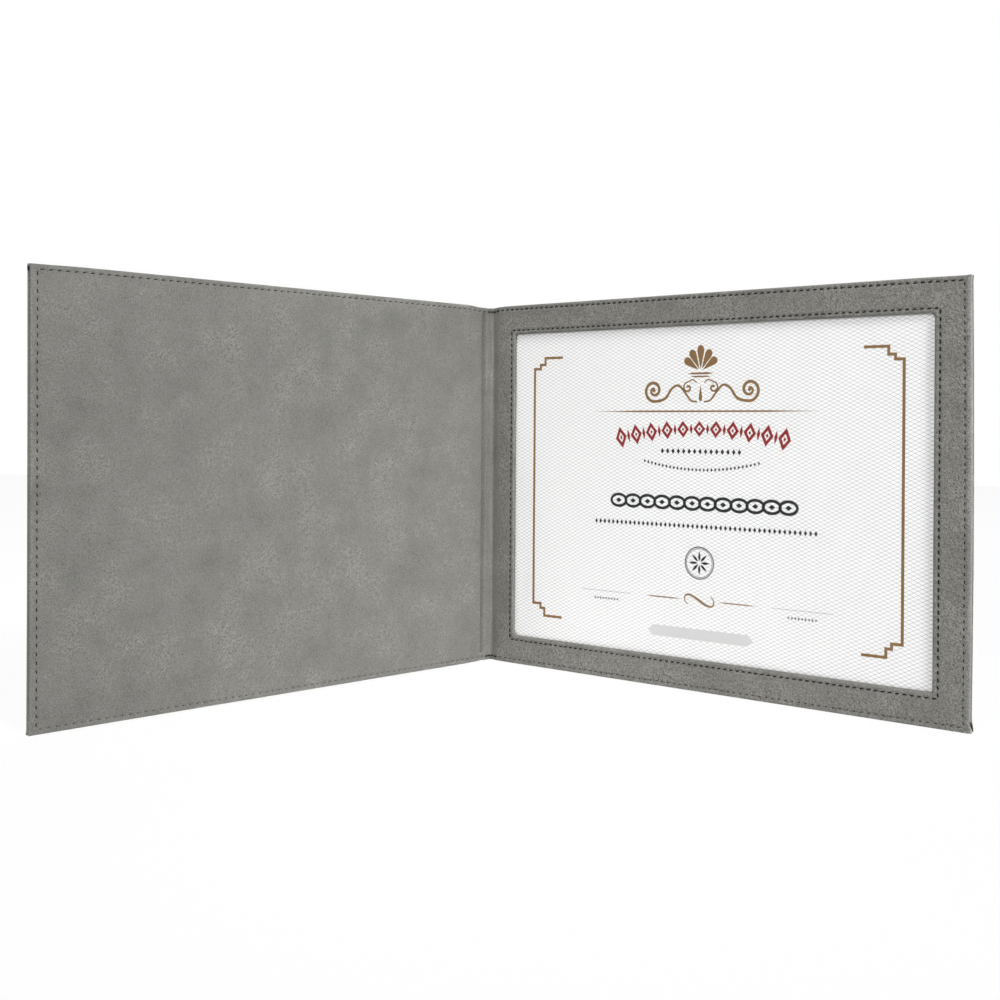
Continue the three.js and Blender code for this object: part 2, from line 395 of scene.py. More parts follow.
def block_rim(rows, block):
    """Indices round the inside of a grid's left-out block."""
    first, last, bottom, top = block
    loop = [column * rows + bottom for column in range(first, last)]
    loop += [last * rows + row for row in range(bottom, top)]
    loop += [column * rows + top for column in range(last, first, -1)]
    loop += [first * rows + row for row in range(top, bottom, -1)]
    return loop


class Shell:
    """Points and faces of a closed leatherette piece, gathered part by part."""

    def __init__(self):
        self.points = []
        self.faces = []

    def add(self, points):
        start = sum(len(part) for part in self.points)
        self.points.append(np.asarray(points, float).reshape(-1, 3))
        return start

    def strip(self, loop_a, loop_b):
        for i in range(len(loop_a)):
            j = (i + 1) % len(loop_a)
            self.faces.append((loop_a[i], loop_a[j], loop_b[j], loop_b[i]))

    def grow(self, loop, points, flip=False):
        """Strip from a loop to a new one through points, which it returns."""
        start = self.add(points)
        grown = list(range(start, start + len(loop)))
        self.strip(*((grown, loop) if flip else (loop, grown)))
        return grown

    def ruled(self, loop, columns, rows):
        """Upright faces between the lower and the upper part of a grid's rim."""
        corner = columns + rows - 2
        lower = loop[:columns]
        upper = [loop[corner + columns - 1 - i] for i in range(columns)]
        self.faces.append([*lower[:2], upper[1], upper[0], *loop[corner + columns:]])
        for i in range(1, columns - 2):
            self.faces.append([lower[i], lower[i + 1], upper[i + 1], upper[i]])
        self.faces.append([lower[-2], *loop[columns - 1:corner + 1], upper[-2]])

    def ring(self, outside, inside, size, block):
        """Flat faces between the rim of a grid and the rim of its left-out block."""
        columns, rows = size[0] - 1, size[1] - 1
        first, last, bottom, top = block
        starts = [first, columns + bottom, 2 * columns + rows - last, 2 * (columns + rows) - top]
        lengths = [last - first, top - bottom, last - first, top - bottom]
        inner = 0
        for side in range(4):
            for step in range(lengths[side]):
                here, there = inner + step, (inner + step + 1) % len(inside)
                outer = starts[side] + step
                self.faces.append((inside[here], inside[there], outside[outer + 1], outside[outer]))
            inner += lengths[side]
            end = starts[side] + lengths[side]
            stop = starts[side + 1] if side < 3 else starts[0] + len(outside)
            corner = [outside[i % len(outside)] for i in range(end, stop + 1)]
            self.faces.append([inside[inner % len(inside)], *corner])

    def finish(self, name, material):
        points = np.concatenate(self.points)
        used = np.unique(np.concatenate([np.asarray(face) for face in self.faces]))
        renumber = np.zeros(len(points), int)
        renumber[used] = np.arange(len(used))
        mesh = bpy.data.meshes.new(name)
        mesh.from_pydata(points[used], [], [[int(renumber[i]) for i in face] for face in self.faces])
        body = bmesh.new()
        body.from_mesh(mesh)
        bmesh.ops.remove_doubles(body, verts=body.verts, dist=WELD)
        bmesh.ops.dissolve_degenerate(body, edges=body.edges, dist=WELD / 10)
        bmesh.ops.recalc_face_normals(body, faces=body.faces)
        body.to_mesh(mesh)
        body.free()
        return piece(name, mesh, material)


def scene_object(name, data):
    thing = bpy.data.objects.new(name, data)
    bpy.context.scene.collection.objects.link(thing)
    return thing


def dress(mesh, material):
    mesh.materials.clear()
    mesh.materials.append(material)


def piece(name, mesh, material, sharp=50):
    """Scene object for a finished mesh, shaded smooth except over edges sharper than an angle."""
    mesh.shade_smooth()
    mesh.set_sharp_from_angle(angle=math.radians(sharp))
    dress(mesh, material)
    return scene_object(name, mesh)


# Leatherette covers

def edge_distance(width, height):
    """Distance from a cover's nearest outer edge."""
    return np.minimum(np.minimum(REACH - width, height), HEIGHT - height)


def edge_roll(distance, radius):
    inside = np.clip(1 - distance / radius, 0, 1)
    return radius * (1 - np.sqrt(np.clip(1 - inside * inside, 0, 1)))


def field_swell(width, height):
    """Slow hand-made unevenness of a glued sheet."""
    across = np.sin(width / SWELL_LONG[0] + SWELL_PHASE[0])
    upright = np.cos(height / SWELL_LONG[1] - SWELL_PHASE[1])
    wave = across * upright + SWELL_SHARE * np.sin(width / SWELL_SHORT[0] - height / SWELL_SHORT[1])
    return SWELL * wave * smoothstep((edge_distance(width, height) - SWELL_MARGIN) / SWELL_FADE)


def edge_fall(width, height, roll):
    """Fall of a sheet's face to its outer edges, tighter at the edge that the holder stands on."""
    fall = np.maximum(edge_roll(REACH - width, roll), edge_roll(HEIGHT - height, roll))
    return np.maximum(fall, edge_roll(height, LOWER_ROLL))


def cover_relief(runs, roll):
    def relief(width, height):
        depth = edge_fall(width, height, roll) + field_swell(width, height)
        for run in runs:
            depth = depth + run.relief(width, height)
        return depth
    return relief


def crease(width):
    """Depth of the crease along the front board: sheer towards the cover, then the flank of a bead."""
    past = CREASE_WIDTH - width
    floor = CREASE_ROLL + (CREASE_DEPTH - CREASE_ROLL) * smoothstep(past / CREASE_SHEER)
    run = np.maximum(width - COVER_START, 0)
    shoulder = BEAD_RADIUS * math.sin(BEAD_SLOPE)
    bead = BEAD_RADIUS - np.sqrt(BEAD_RADIUS ** 2 - np.minimum(run, shoulder) ** 2)
    flank = bead + math.tan(BEAD_SLOPE) * np.maximum(run - shoulder, 0)
    return np.where(past > 0, np.minimum(floor, flank), edge_roll(-past, CREASE_ROLL))


def under_crease(width):
    """Crease as the sheet's other side shows it, pressed onto the outer sheet and nearer to the board."""
    deepest = FRONT_THICKNESS - 2 * LEATHERETTE - LAYER_GAP
    behind = np.where(width < CREASE_WIDTH + LEATHERETTE - LAYER_GAP, deepest, 0.0)
    return np.where(width < CREASE_WIDTH, np.minimum(crease(width), deepest), behind)


def front_lining_relief(width, height):
    """Cover relief with the crease, which the border seam all but closes."""
    inside = smoothstep((edge_distance(width, height) - BORDER_SEAM) / CREASE_FADE)
    fade = CREASE_AT_SEAM + (1 - CREASE_AT_SEAM) * inside
    return cover_relief(FRONT_RUNS, LINING_ROLL)(width, height) + fade * crease(width)


# The two covers, with the waver of their hand-turned edges and the pointed tips of some mitred corners
FRONT = SimpleNamespace(
    body="front_cover", place=on_front, drop=front_dip, thickness=FRONT_THICKNESS, thread=FRONT_THREAD,
    seam=FRONT_EDGE_SEAM, lean=0.55, bow=-0.18, out=0.06, rise=0.08, fall=0.42, tips={0: 0.25})
BACK = SimpleNamespace(
    body="back_cover", place=on_back, drop=back_dip, thickness=BACK_THICKNESS, thread=BACK_THREAD,
    seam=BACK_EDGE_SEAM, lean=-0.34, bow=0.72, out=-0.23, rise=0.14, fall=0.22, tips={0: 0.9, HEIGHT: 0.3})


def edge_waver(cover, width, height):
    """Sideways unevenness of a cover's edges and corners."""
    up = 2 * height / HEIGHT - 1
    near = 1 - smoothstep((REACH - width) / LEAN_RUN)
    d_width = near * (cover.lean * up + cover.bow * (1 - up * up) + cover.out)
    d_height = cover.rise - cover.fall * smoothstep((width - REACH + FALL_RUN) / FALL_RUN)
    d_height = d_height * smoothstep((height - HEIGHT + RISE_RUN) / RISE_RUN)
    for corner_height, reach in cover.tips.items():
        away = np.hypot(width - REACH, height - corner_height)
        pull = reach * (1 - smoothstep(away / (TIP_SPREAD * reach)))
        d_width = d_width + pull
        d_height = d_height + TIP_RISE * pull * (corner_height > 0)
    return d_width, d_height


def soft(cover, width, level, height, warp=(0, 0)):
    """Points of a cover's soft sheet, with its wavering edges and its dip towards the spine."""
    d_width, d_height = edge_waver(cover, width, height)
    lifted = squeeze(height + d_height + warp[1], cover.drop(width))
    return cover.place(width + d_width + warp[0], level, lifted)


def free_edge_lines(cover):
    """Close lines of width along a cover's free edge and its seam."""
    return [REACH - e for e in EDGE_LINES] + [REACH - cover.seam + s for s in SEAM_LINES]


def upright_lines():
    """Close lines of height along the lower and the upper edge and their seams."""
    lower = EDGE_LINES + [BORDER_SEAM + s for s in SEAM_LINES]
    return lower + [HEIGHT - line for line in lower]


def no_crease(width):
    return np.zeros_like(width)


def turn_edges(shell, grid, shape, levels, roll, ends, sunk=no_crease):
    """Turns the rim of a sheet round the board in steps, except at the spine, and returns the last loop.
    levels are those of the face, of the sheet's other side and of the turned edges' end. ends are the last
    insets and levels, after the roll."""
    face, under, parting = levels
    inwards = 1 if under > face else -1
    loop = rim(*grid[0].shape)
    width, height = (axis.ravel()[loop] for axis in grid)
    at_spine = width <= COVER_START
    for inset, level in [(step, parting - inwards * share * roll) for step, share in TURN_STEPS] + ends:
        step_width = np.minimum(width, REACH - inset)
        step_height = np.clip(height, inset, HEIGHT - inset)
        step_level = np.where(at_spine, np.clip(level, *sorted((face, under))), level)
        if level == under:
            step_level = step_level + inwards * sunk(step_width)
        loop = shell.grow(loop, shape(step_width, step_level, step_height))
    return loop


def cover_skin(name, cover, relief, levels, roll, sunk=no_crease):
    """Sheet of leatherette over one face of a cover, with its three outer edges turned round the board."""
    face, under, parting = levels
    inwards = 1 if under > face else -1
    crease_lines = [CREASE_WIDTH + c for c in CREASE_LINES]
    widths = grid_lines(COVER_START, REACH, FINE, free_edge_lines(cover) + crease_lines)
    heights = grid_lines(0, HEIGHT, FINE, upright_lines())
    block = (
        *inner_block(widths, SPINE_MARGIN, EDGE_MARGIN, COARSE_STEP),
        *inner_block(heights, EDGE_MARGIN, EDGE_MARGIN, COARSE_STEP),
    )

    def shape(width, level, height):
        return soft(cover, width, level, height)

    width, height = grid = np.meshgrid(widths, heights, indexing="ij")
    shell = Shell()
    shell.add(shape(width, face + inwards * relief(width, height), height))
    shell.faces += grid_faces(*width.shape, block, COARSE_STEP)
    wall = abs(under - face)
    loop = turn_edges(shell, grid, shape, levels, roll, [(wall, parting), (wall + LAYER_GAP, under)], sunk)
    shell.ruled(loop, *width.shape)
    return shell.finish(name, leatherette)


def mitre_slit_shade(name, cover, start, end):
    """Sliver of the dark core where a mitred corner gapes, between two levels and heights of the edge. Its
    near-black finish is painted shade of the gap.
    """
    start, end = np.array(start, float), np.array(end, float)
    share = np.linspace(0, 1, SLIT_POINTS)
    across = np.array([start[1] - end[1], end[0] - start[0]]) / np.linalg.norm(end - start)
    swelling = np.sin(math.pi * np.clip(share, SLIT_TIP, 1 - SLIT_TIP) ** SLIT_LEAN)
    half = SLIT_WIDTH / 2 * swelling ** SLIT_BLUNTNESS
    line = start + share[:, None] * (end - start)
    outline = np.concatenate([line + across * half[:, None], (line - across * half[:, None])[::-1]])
    d_width, d_height = edge_waver(cover, np.full(len(outline), REACH), outline[:, 1])
    front, back = (cover.place(reach + d_width, outline[:, 0], outline[:, 1] + d_height)
                   for reach in (REACH + SLIT_STAND, REACH - LEATHERETTE))
    shell = Shell()
    shell.add(front)
    loop = list(range(len(outline)))
    back_loop = shell.grow(loop, back)
    shell.faces += [loop, back_loop]
    return shell.finish(name, core_board_and_gap_shade)


def window_warp(width, height):
    """Moves points near the opening's corners, so that each corner is round."""
    d_width, d_height = np.zeros_like(width), np.zeros_like(height)
    for (right, upper), radius in WINDOW_RADII.items():
        to_right = -1 if right else 1
        to_top = -1 if upper else 1
        x = to_right * (width - (WINDOW_RIGHT if right else WINDOW_LEFT))
        y = to_top * (height - (WINDOW_HIGH if upper else WINDOW_LOW))
        run = np.maximum(np.maximum(x, y), 0)
        angle = math.pi / 4 * np.clip(run / radius, 0, 1)
        # A point on the edge moves to the arc, which meets the edges at the radius and turns at its middle.
        arc_far = radius - radius * np.sin(math.pi / 4 - angle)
        arc_near = radius - radius * np.cos(math.pi / 4 - angle)
        along_x = x >= y
        move_x = np.where(along_x, arc_far - run, arc_near)
        move_y = np.where(along_x, arc_near, arc_far - run)
        away = np.hypot(np.minimum(x, 0), np.minimum(y, 0))
        weight = np.where(run < radius, np.clip(1 - away / WARP_REACH, 0, 1) ** 2, 0)
        d_width += to_right * weight * move_x
        d_height += to_top * weight * move_y
    return d_width, d_height


def lip_distance(width, height):
    """Distance from the window opening, outwards."""
    beside = np.maximum(WINDOW_LEFT - width, width - WINDOW_RIGHT)
    above = np.maximum(WINDOW_LOW - height, height - WINDOW_HIGH)
    return np.maximum(beside, above)


def frame_relief(width, height):
    depth = cover_relief(BACK_RUNS + WINDOW_RUNS, FRAME_ROLL)(width, height)
    return depth + edge_roll(lip_distance(width, height), LIP_ROLL)


def window_frame(name, cover):
    """Frame of leatherette, sewn round the cover's edge and turned down round the window."""
    face = cover.thickness
    under = face - FRAME_LEATHERETTE
    close = free_edge_lines(cover)
    close += [WINDOW_LEFT - e for e in LIP_LINES] + [WINDOW_RIGHT + e for e in LIP_LINES]
    close += [WINDOW_LEFT - WINDOW_SEAM + s for s in SEAM_LINES[:-1]]
    close += [WINDOW_RIGHT + WINDOW_SEAM + s for s in SEAM_LINES[1:]]
    upright = upright_lines()
    upright += [WINDOW_LOW - e for e in LIP_LINES] + [WINDOW_HIGH + e for e in LIP_LINES]
    upright += [WINDOW_LOW - WINDOW_SEAM + s for s in SEAM_LINES[:-1]]
    upright += [WINDOW_HIGH + WINDOW_TOP_SEAM + s for s in SEAM_LINES[2:]]
    widths = grid_lines(COVER_START, REACH, FINE, close)
    heights = grid_lines(0, HEIGHT, FINE, upright)
    block = (
        *(int(np.argmin(abs(widths - side))) for side in (WINDOW_LEFT, WINDOW_RIGHT)),
        *(int(np.argmin(abs(heights - side))) for side in (WINDOW_LOW, WINDOW_HIGH)),
    )

    def shape(width, level, height):
        return soft(cover, width, level, height, window_warp(width, height))

    width, height = grid = np.meshgrid(widths, heights, indexing="ij")
    shell = Shell()
    shell.add(shape(width, face - frame_relief(width, height), height))
    shell.faces += grid_faces(*width.shape, block, 0)
    foot = BACK_PARTING + LAYER_GAP / 2
    ends = [(LEATHERETTE, foot), (LEATHERETTE, under)]
    outside = turn_edges(shell, grid, shape, (face, under, foot), PARTING_ROLL, ends)

    inside = block_rim(len(heights), block)
    loop_width, loop_height = width.ravel()[inside], height.ravel()[inside]
    side = (loop_width >= WINDOW_RIGHT).astype(float) - (loop_width <= WINDOW_LEFT)
    rise = (loop_height >= WINDOW_HIGH).astype(float) - (loop_height <= WINDOW_LOW)
    lip_foot = CLEAR_LEVEL + LAYER_GAP
    lip = [(0, lip_foot + LIP_STAND), (LIP_TURN, lip_foot)]
    lip += [(FRAME_LEATHERETTE, lip_foot), (FRAME_LEATHERETTE, under)]
    for inset, level in lip:
        points = shape(loop_width + side * inset, level, loop_height + rise * inset)
        inside = shell.grow(inside, points, flip=True)
    shell.ring(outside, inside, width.shape, block)
    return shell.finish(name, frame_leatherette)


# Leatherette in the folds

def fillet(corner, before, after, radius):
    """Points of an arc that rounds a corner between two neighbours in plan."""
    a = (before - corner) / np.linalg.norm(before - corner)
    b = (after - corner) / np.linalg.norm(after - corner)
    half = math.acos(float(np.clip(a @ b, -1, 1))) / 2
    centre = corner + (a + b) / np.linalg.norm(a + b) * radius / math.sin(half)
    first = corner + a * radius / math.tan(half) - centre
    last = corner + b * radius / math.tan(half) - centre
    turn = math.atan2(first[0] * last[1] - first[1] * last[0], first @ last)
    angles = np.linspace(0, turn, ARC_STEPS)
    return [centre + np.array([c * first[0] - s * first[1], s * first[0] + c * first[1]])
            for c, s in zip(np.cos(angles), np.sin(angles))]


def crossing(place_a, level_a, place_b, level_b):
    """Point in plan where a level of one cover meets a level of another."""
    origin_a = place_a(0.0, level_a, 0.0)[:2] / MM
    origin_b = place_b(0.0, level_b, 0.0)[:2] / MM
    matrix = np.stack([place_a.along[:2], -place_b.along[:2]], axis=1)
    return origin_a + place_a.along[:2] * np.linalg.solve(matrix, origin_b - origin_a)[0]


def resample(points, count):
    points = np.array(points)
    reach = np.append(0, np.cumsum(np.linalg.norm(np.diff(points, axis=0), axis=1)))
    even = np.linspace(0, reach[-1], count)
    return np.stack([np.interp(even, reach, points[:, axis]) for axis in (0, 1)], axis=1)


def plan_point(place, width, level):
    return place(float(width), float(level), 0.0)[:2] / MM


def gutter_paths(depth):
    """Front half and back half of the lining's line in plan, set back from its face by a depth.
    It runs on from the front cover a little past the frame's face, then up round the frame's edge."""
    front_end = plan_point(on_front, COVER_START, FRONT_THICKNESS)
    shoulder = plan_point(on_front, COVER_START / 2, FRONT_THICKNESS)
    valley = plan_point(on_front, GUTTER_WIDTH, FRONT_THICKNESS - GUTTER_SINK)
    edge = plan_point(on_back, FRAME_START, BACK_THICKNESS)
    back_end = plan_point(on_back, COVER_START, BACK_THICKNESS)
    notch = fillet(valley, shoulder, edge, GUTTER_FILLET)
    roll = fillet(edge, valley, back_end, FRAME_START_ROLL)
    line = np.array([front_end, shoulder, *notch, *roll, back_end])
    step = unit(np.diff(line, axis=0))
    tangent = np.concatenate([step[:1], step[:-1] + step[1:], step[-1:]])
    line = line + depth * left_of(tangent)
    return list(line[:GUTTER_MIDDLE + 1]), list(line[GUTTER_MIDDLE:])


def spine_paths(depth):
    """Front half and back half of the outer leatherette's line in plan, set in from its face by a depth."""
    front_end = plan_point(on_front, COVER_START, depth)
    back_end = plan_point(on_back, COVER_START, depth)
    front_corner = crossing(on_front, depth, on_spine, depth)
    back_corner = crossing(on_spine, depth, on_back, depth)
    middle = (front_corner + back_corner) / 2
    front_arc = fillet(front_corner, front_end, back_corner, SPINE_FILLET - depth)
    back_arc = fillet(back_corner, front_corner, back_end, SPINE_FILLET - depth)
    return [front_end, *front_arc, middle], [middle, *back_arc, back_end]


def fold_seam(share, length, height):
    """Relief of the border seam where it crosses the spine, on a line of the given length."""
    runs = [SeamRun((0, h), (length, h), length / FOLD_COUNT) for h in (BORDER_SEAM, HEIGHT - BORDER_SEAM)]
    return sum(run.relief(share * length, height) for run in runs)


def fold_drop(share, drops):
    """Dip of the upper edge along a fold's line, between the dips at its two ends."""
    return drops[0] + (drops[1] - drops[0]) * smoothstep(share)


def fold_leather(name, face, under, drops):
    """Closed strip of leatherette between two lines in plan, as high as the covers' soft edges allow."""
    face, under = resample(face, FOLD_SAMPLES), resample(under, FOLD_SAMPLES)
    length = float(np.linalg.norm(np.diff(face, axis=0), axis=1).sum())
    heights = grid_lines(0, HEIGHT, FOLD_ROW, upright_lines())
    size = (FOLD_SAMPLES, len(heights))
    share = np.linspace(0, 1, FOLD_SAMPLES)[:, None]
    height = np.broadcast_to(heights, size)
    depth = edge_fall(np.zeros_like(height), height, LINING_ROLL) + fold_seam(share, length, height)
    inwards = unit(under - face)
    lifted = squeeze(height, fold_drop(share, drops))

    def raised(plan):
        return np.concatenate([plan, lifted[..., None]], axis=-1) * MM

    shell = Shell()
    shell.add(raised(face[:, None] + inwards[:, None] * depth[..., None]))
    back = shell.add(raised(np.broadcast_to(under[:, None], (*size, 2))))
    faces = grid_faces(*size, (0, 0, 0, 0), 0)
    shell.faces += faces + [tuple(back + i for i in reversed(quad)) for quad in faces]
    outline = rim(*size)
    shell.strip(outline, [back + i for i in outline])
    return shell.finish(name, leatherette)


# Stitches

def add(tree, kind, links=None, **settings):
    """Adds a node with its settings. Each link is a value for a socket, or another node and its output."""
    made = tree.nodes.new(kind)
    for key, value in settings.items():
        setattr(made, key, value)
    for socket, value in (links or {}).items():
        if isinstance(value, tuple) and isinstance(value[0], bpy.types.Node):
            tree.links.new(value[0].outputs[value[1]], made.inputs[socket])
        else:
            made.inputs[socket].default_value = value
    return made


def stitch_tree():
    """Node tree that lays one stitch at each place along the seam runs of a mesh of lines.
    The runs carry the face's normal, their number of stitches and the stitches' size."""
    tree = bpy.data.node_groups.new("lockstitch run", "GeometryNodeTree")
    sockets = [
        ("Runs", "INPUT", "NodeSocketGeometry"),
        ("Stitch length", "INPUT", "NodeSocketFloat"),
        ("Thread radius", "INPUT", "NodeSocketFloat"),
        ("Rise", "INPUT", "NodeSocketFloat"),
        ("Slant", "INPUT", "NodeSocketFloat"),
        ("Twist", "INPUT", "NodeSocketFloat"),
        ("Seed", "INPUT", "NodeSocketInt"),
        ("Thread", "INPUT", "NodeSocketMaterial"),
        ("Stitches", "OUTPUT", "NodeSocketGeometry"),
    ]
    for label, direction, kind in sockets:
        tree.interface.new_socket(label, in_out=direction, socket_type=kind)
    given = add(tree, "NodeGroupInput")
    count = add(tree, "GeometryNodeInputNamedAttribute", {"Name": "stitch_count"}, data_type="INT")
    normal = add(tree, "GeometryNodeInputNamedAttribute", {"Name": "face_normal"}, data_type="FLOAT_VECTOR")
    size = add(tree, "GeometryNodeInputNamedAttribute", {"Name": "stitch_size"}, data_type="FLOAT")
    curves = add(tree, "GeometryNodeMeshToCurve", {"Mesh": (given, "Runs")})
    places = add(tree, "GeometryNodeResampleCurve", {"Curve": (curves, 0), "Count": (count, 0)})
    tangent = add(tree, "GeometryNodeInputTangent")
    turned = add(tree, "FunctionNodeAxesToRotation",
                 {"Primary Axis": (normal, 0), "Secondary Axis": (tangent, 0)},
                 primary_axis="Z", secondary_axis="X")
    least, most = (add(tree, "ShaderNodeMath", {0: (given, "Slant"), 1: share}, operation="MULTIPLY")
                   for share in SLANT_SPREAD)
    lean = add(tree, "FunctionNodeRandomValue",
               {"Min": (least, 0), "Max": (most, 0), "Seed": (given, "Seed")}, data_type="FLOAT")
    lean_turn = add(tree, "FunctionNodeAxisAngleToRotation", {"Axis": (0, 0, 1), "Angle": (lean, "Value")})
    leaning = add(tree, "FunctionNodeRotateRotation",
                  {0: (turned, 0), 1: (lean_turn, 0)}, rotation_space="LOCAL")
    sink = add(tree, "ShaderNodeMath", {0: (given, "Rise"), 1: -1.0}, operation="MULTIPLY")
    ends = []
    for share in (-0.5, 0.5):
        reach = add(tree, "ShaderNodeMath", {0: (given, "Stitch length"), 1: share}, operation="MULTIPLY")
        ends.append(add(tree, "ShaderNodeCombineXYZ", {"X": (reach, 0), "Z": (sink, 0)}))
    middle = add(tree, "ShaderNodeCombineXYZ", {"Z": (given, "Rise")})
    arch = add(tree, "GeometryNodeCurveQuadraticBezier",
               {"Resolution": ARCH_POINTS, "Start": (ends[0], 0), "Middle": (middle, 0),
                "End": (ends[1], 0)})
    along = add(tree, "GeometryNodeSplineParameter")
    twist = add(tree, "ShaderNodeMath", {0: (along, "Factor"), 1: (given, "Twist")}, operation="MULTIPLY")
    twisted = add(tree, "GeometryNodeSetCurveTilt", {"Curve": (arch, 0), "Tilt": (twist, 0)})
    ring = add(tree, "GeometryNodeCurvePrimitiveCircle",
               {"Resolution": THREAD_SIDES, "Radius": (given, "Thread radius")})
    plies = add(tree, "GeometryNodeTransform", {"Geometry": (ring, 0), "Scale": THREAD_SECTION})
    stitch = add(tree, "GeometryNodeCurveToMesh",
                 {"Curve": (twisted, 0), "Profile Curve": (plies, 0), "Fill Caps": True})
    laid = add(tree, "GeometryNodeInstanceOnPoints",
               {"Points": (places, 0), "Instance": (stitch, 0), "Rotation": (leaning, 0), "Scale": (size, 0)})
    real = add(tree, "GeometryNodeRealizeInstances", {"Geometry": (laid, 0)})
    smooth = add(tree, "GeometryNodeSetShadeSmooth", {0: (real, 0)})
    dressed = add(tree, "GeometryNodeSetMaterial", {"Geometry": (smooth, 0), "Material": (given, "Thread")})
    add(tree, "NodeGroupOutput", {"Stitches": (dressed, 0)})
    return tree


def sew(name, runs, length, radius, seed):
    """Mesh of stitches on runs, each with points in metres, the face's normals, a count and a size."""
    mesh = bpy.data.meshes.new(name + "_runs")
    points, edges, normals, counts, sizes = [], [], [], [], []
    for run_points, run_normals, count, size in runs:
        first = len(points)
        points += [Vector(p) for p in run_points]
        normals += [Vector(n) for n in run_normals]
        counts += [count] * len(run_points)
        sizes += [size] * len(run_points)
        edges += [(first + i, first + i + 1) for i in range(len(run_points) - 1)]
    mesh.from_pydata(points, edges, [])
    for label, kind, field, values in (
        ("face_normal", "FLOAT_VECTOR", "vector", np.array(normals, float).ravel()),
        ("stitch_count", "INT", "value", counts),
        ("stitch_size", "FLOAT", "value", sizes),
    ):
        mesh.attributes.new(label, kind, "POINT").data.foreach_set(field, values)
    guide = scene_object(name + "_runs", mesh)
    modifier = guide.modifiers.new("lockstitch", "NODES")
    modifier.node_group = LOCKSTITCH
    values = {
        "Stitch length": length * MM,
        "Thread radius": radius * MM,
        "Rise": STITCH_RISE * MM,
        "Slant": math.radians(STITCH_SLANT),
        "Twist": 2 * math.pi * STITCH_TURNS,
        "Seed": seed,
        "Thread": thread_with_hole_shade,
    }
    for item in LOCKSTITCH.interface.items_tree:
        if item.in_out == "INPUT" and item.name in values:
            modifier[item.identifier] = values[item.name]
    graph = bpy.context.evaluated_depsgraph_get()
    graph.update()
    stitches = bpy.data.meshes.new_from_object(guide.evaluated_get(graph))
    stitches.name = name
    guide.modifiers.remove(modifier)
    bpy.data.objects.remove(guide)
    return piece(name, stitches, thread_with_hole_shade)


def flat_runs(runs, cover, side):
    """Seam runs of a cover's inner (1) or outer (-1) face, half a step short of the corners."""
    level = cover.thickness - STITCH_SINK if side > 0 else STITCH_SINK
    laid = []
    for run in runs:
        ends = [run.start + run.along * run.step / 2, run.end - run.along * run.step / 2]
        width, height = np.linspace(*ends, RUN_POINTS).T
        normals = [side * cover.place.inwards] * RUN_POINTS
        laid.append((soft(cover, width, level, height), normals, run.count, run.size))
    return laid


def fold_runs(path, side, drops):
    """Seam runs over the spine, one above and one below, for one half of the fold's line."""
    fine = resample(path, 10 * FOLD_RUN_POINTS)
    margin = 0.5 / FOLD_COUNT
    share = np.linspace(margin, 1 - margin, FOLD_RUN_POINTS)
    plan = np.stack([np.interp(share, np.linspace(0, 1, len(fine)), axis) for axis in fine.T], axis=1)
    normal = left_of(np.gradient(plan, axis=0)) * side
    normals = np.column_stack([normal, np.zeros(len(plan))])
    laid = []
    for height in (BORDER_SEAM, HEIGHT - BORDER_SEAM):
        lifted = squeeze(height, fold_drop(share, drops))
        points = np.column_stack([plan - normal * STITCH_SINK, lifted]) * MM
        laid.append((points, normals, FOLD_COUNT, 1.0))
    return laid


# Materials, with the sizes of what their patterns show

CLOUD = 24
CLOUD_TONE = 0.21
WRINKLE = 0.36
WRINKLE_STRETCH = 2.8
PEBBLE = 0.4
BUMP = 0.2
PLY = 0.8
FIBRE = 1.5
SWAY = 30
LATTICE_WIDTH = 4.4
LATTICE_HEIGHT = 2.17
LATTICE_LINE = 0.125
MOTTLE = 0.9
HAZE = 40


def linear(hex_colour):
    """sRGB hex value as linear RGBA."""
    channels = [int(hex_colour[i:i + 2], 16) / 255 for i in (1, 3, 5)]
    return (*[c / 12.92 if c <= 0.04045 else ((c + 0.055) / 1.055) ** 2.4 for c in channels], 1.0)


def per_metre(size):
    """Texture scale for features of a size in millimetres."""
    return 1 / (size * MM)


def new_material(name):
    material = bpy.data.materials.new(name)
    material.use_nodes = True
    material.node_tree.nodes.clear()
    return material, material.node_tree


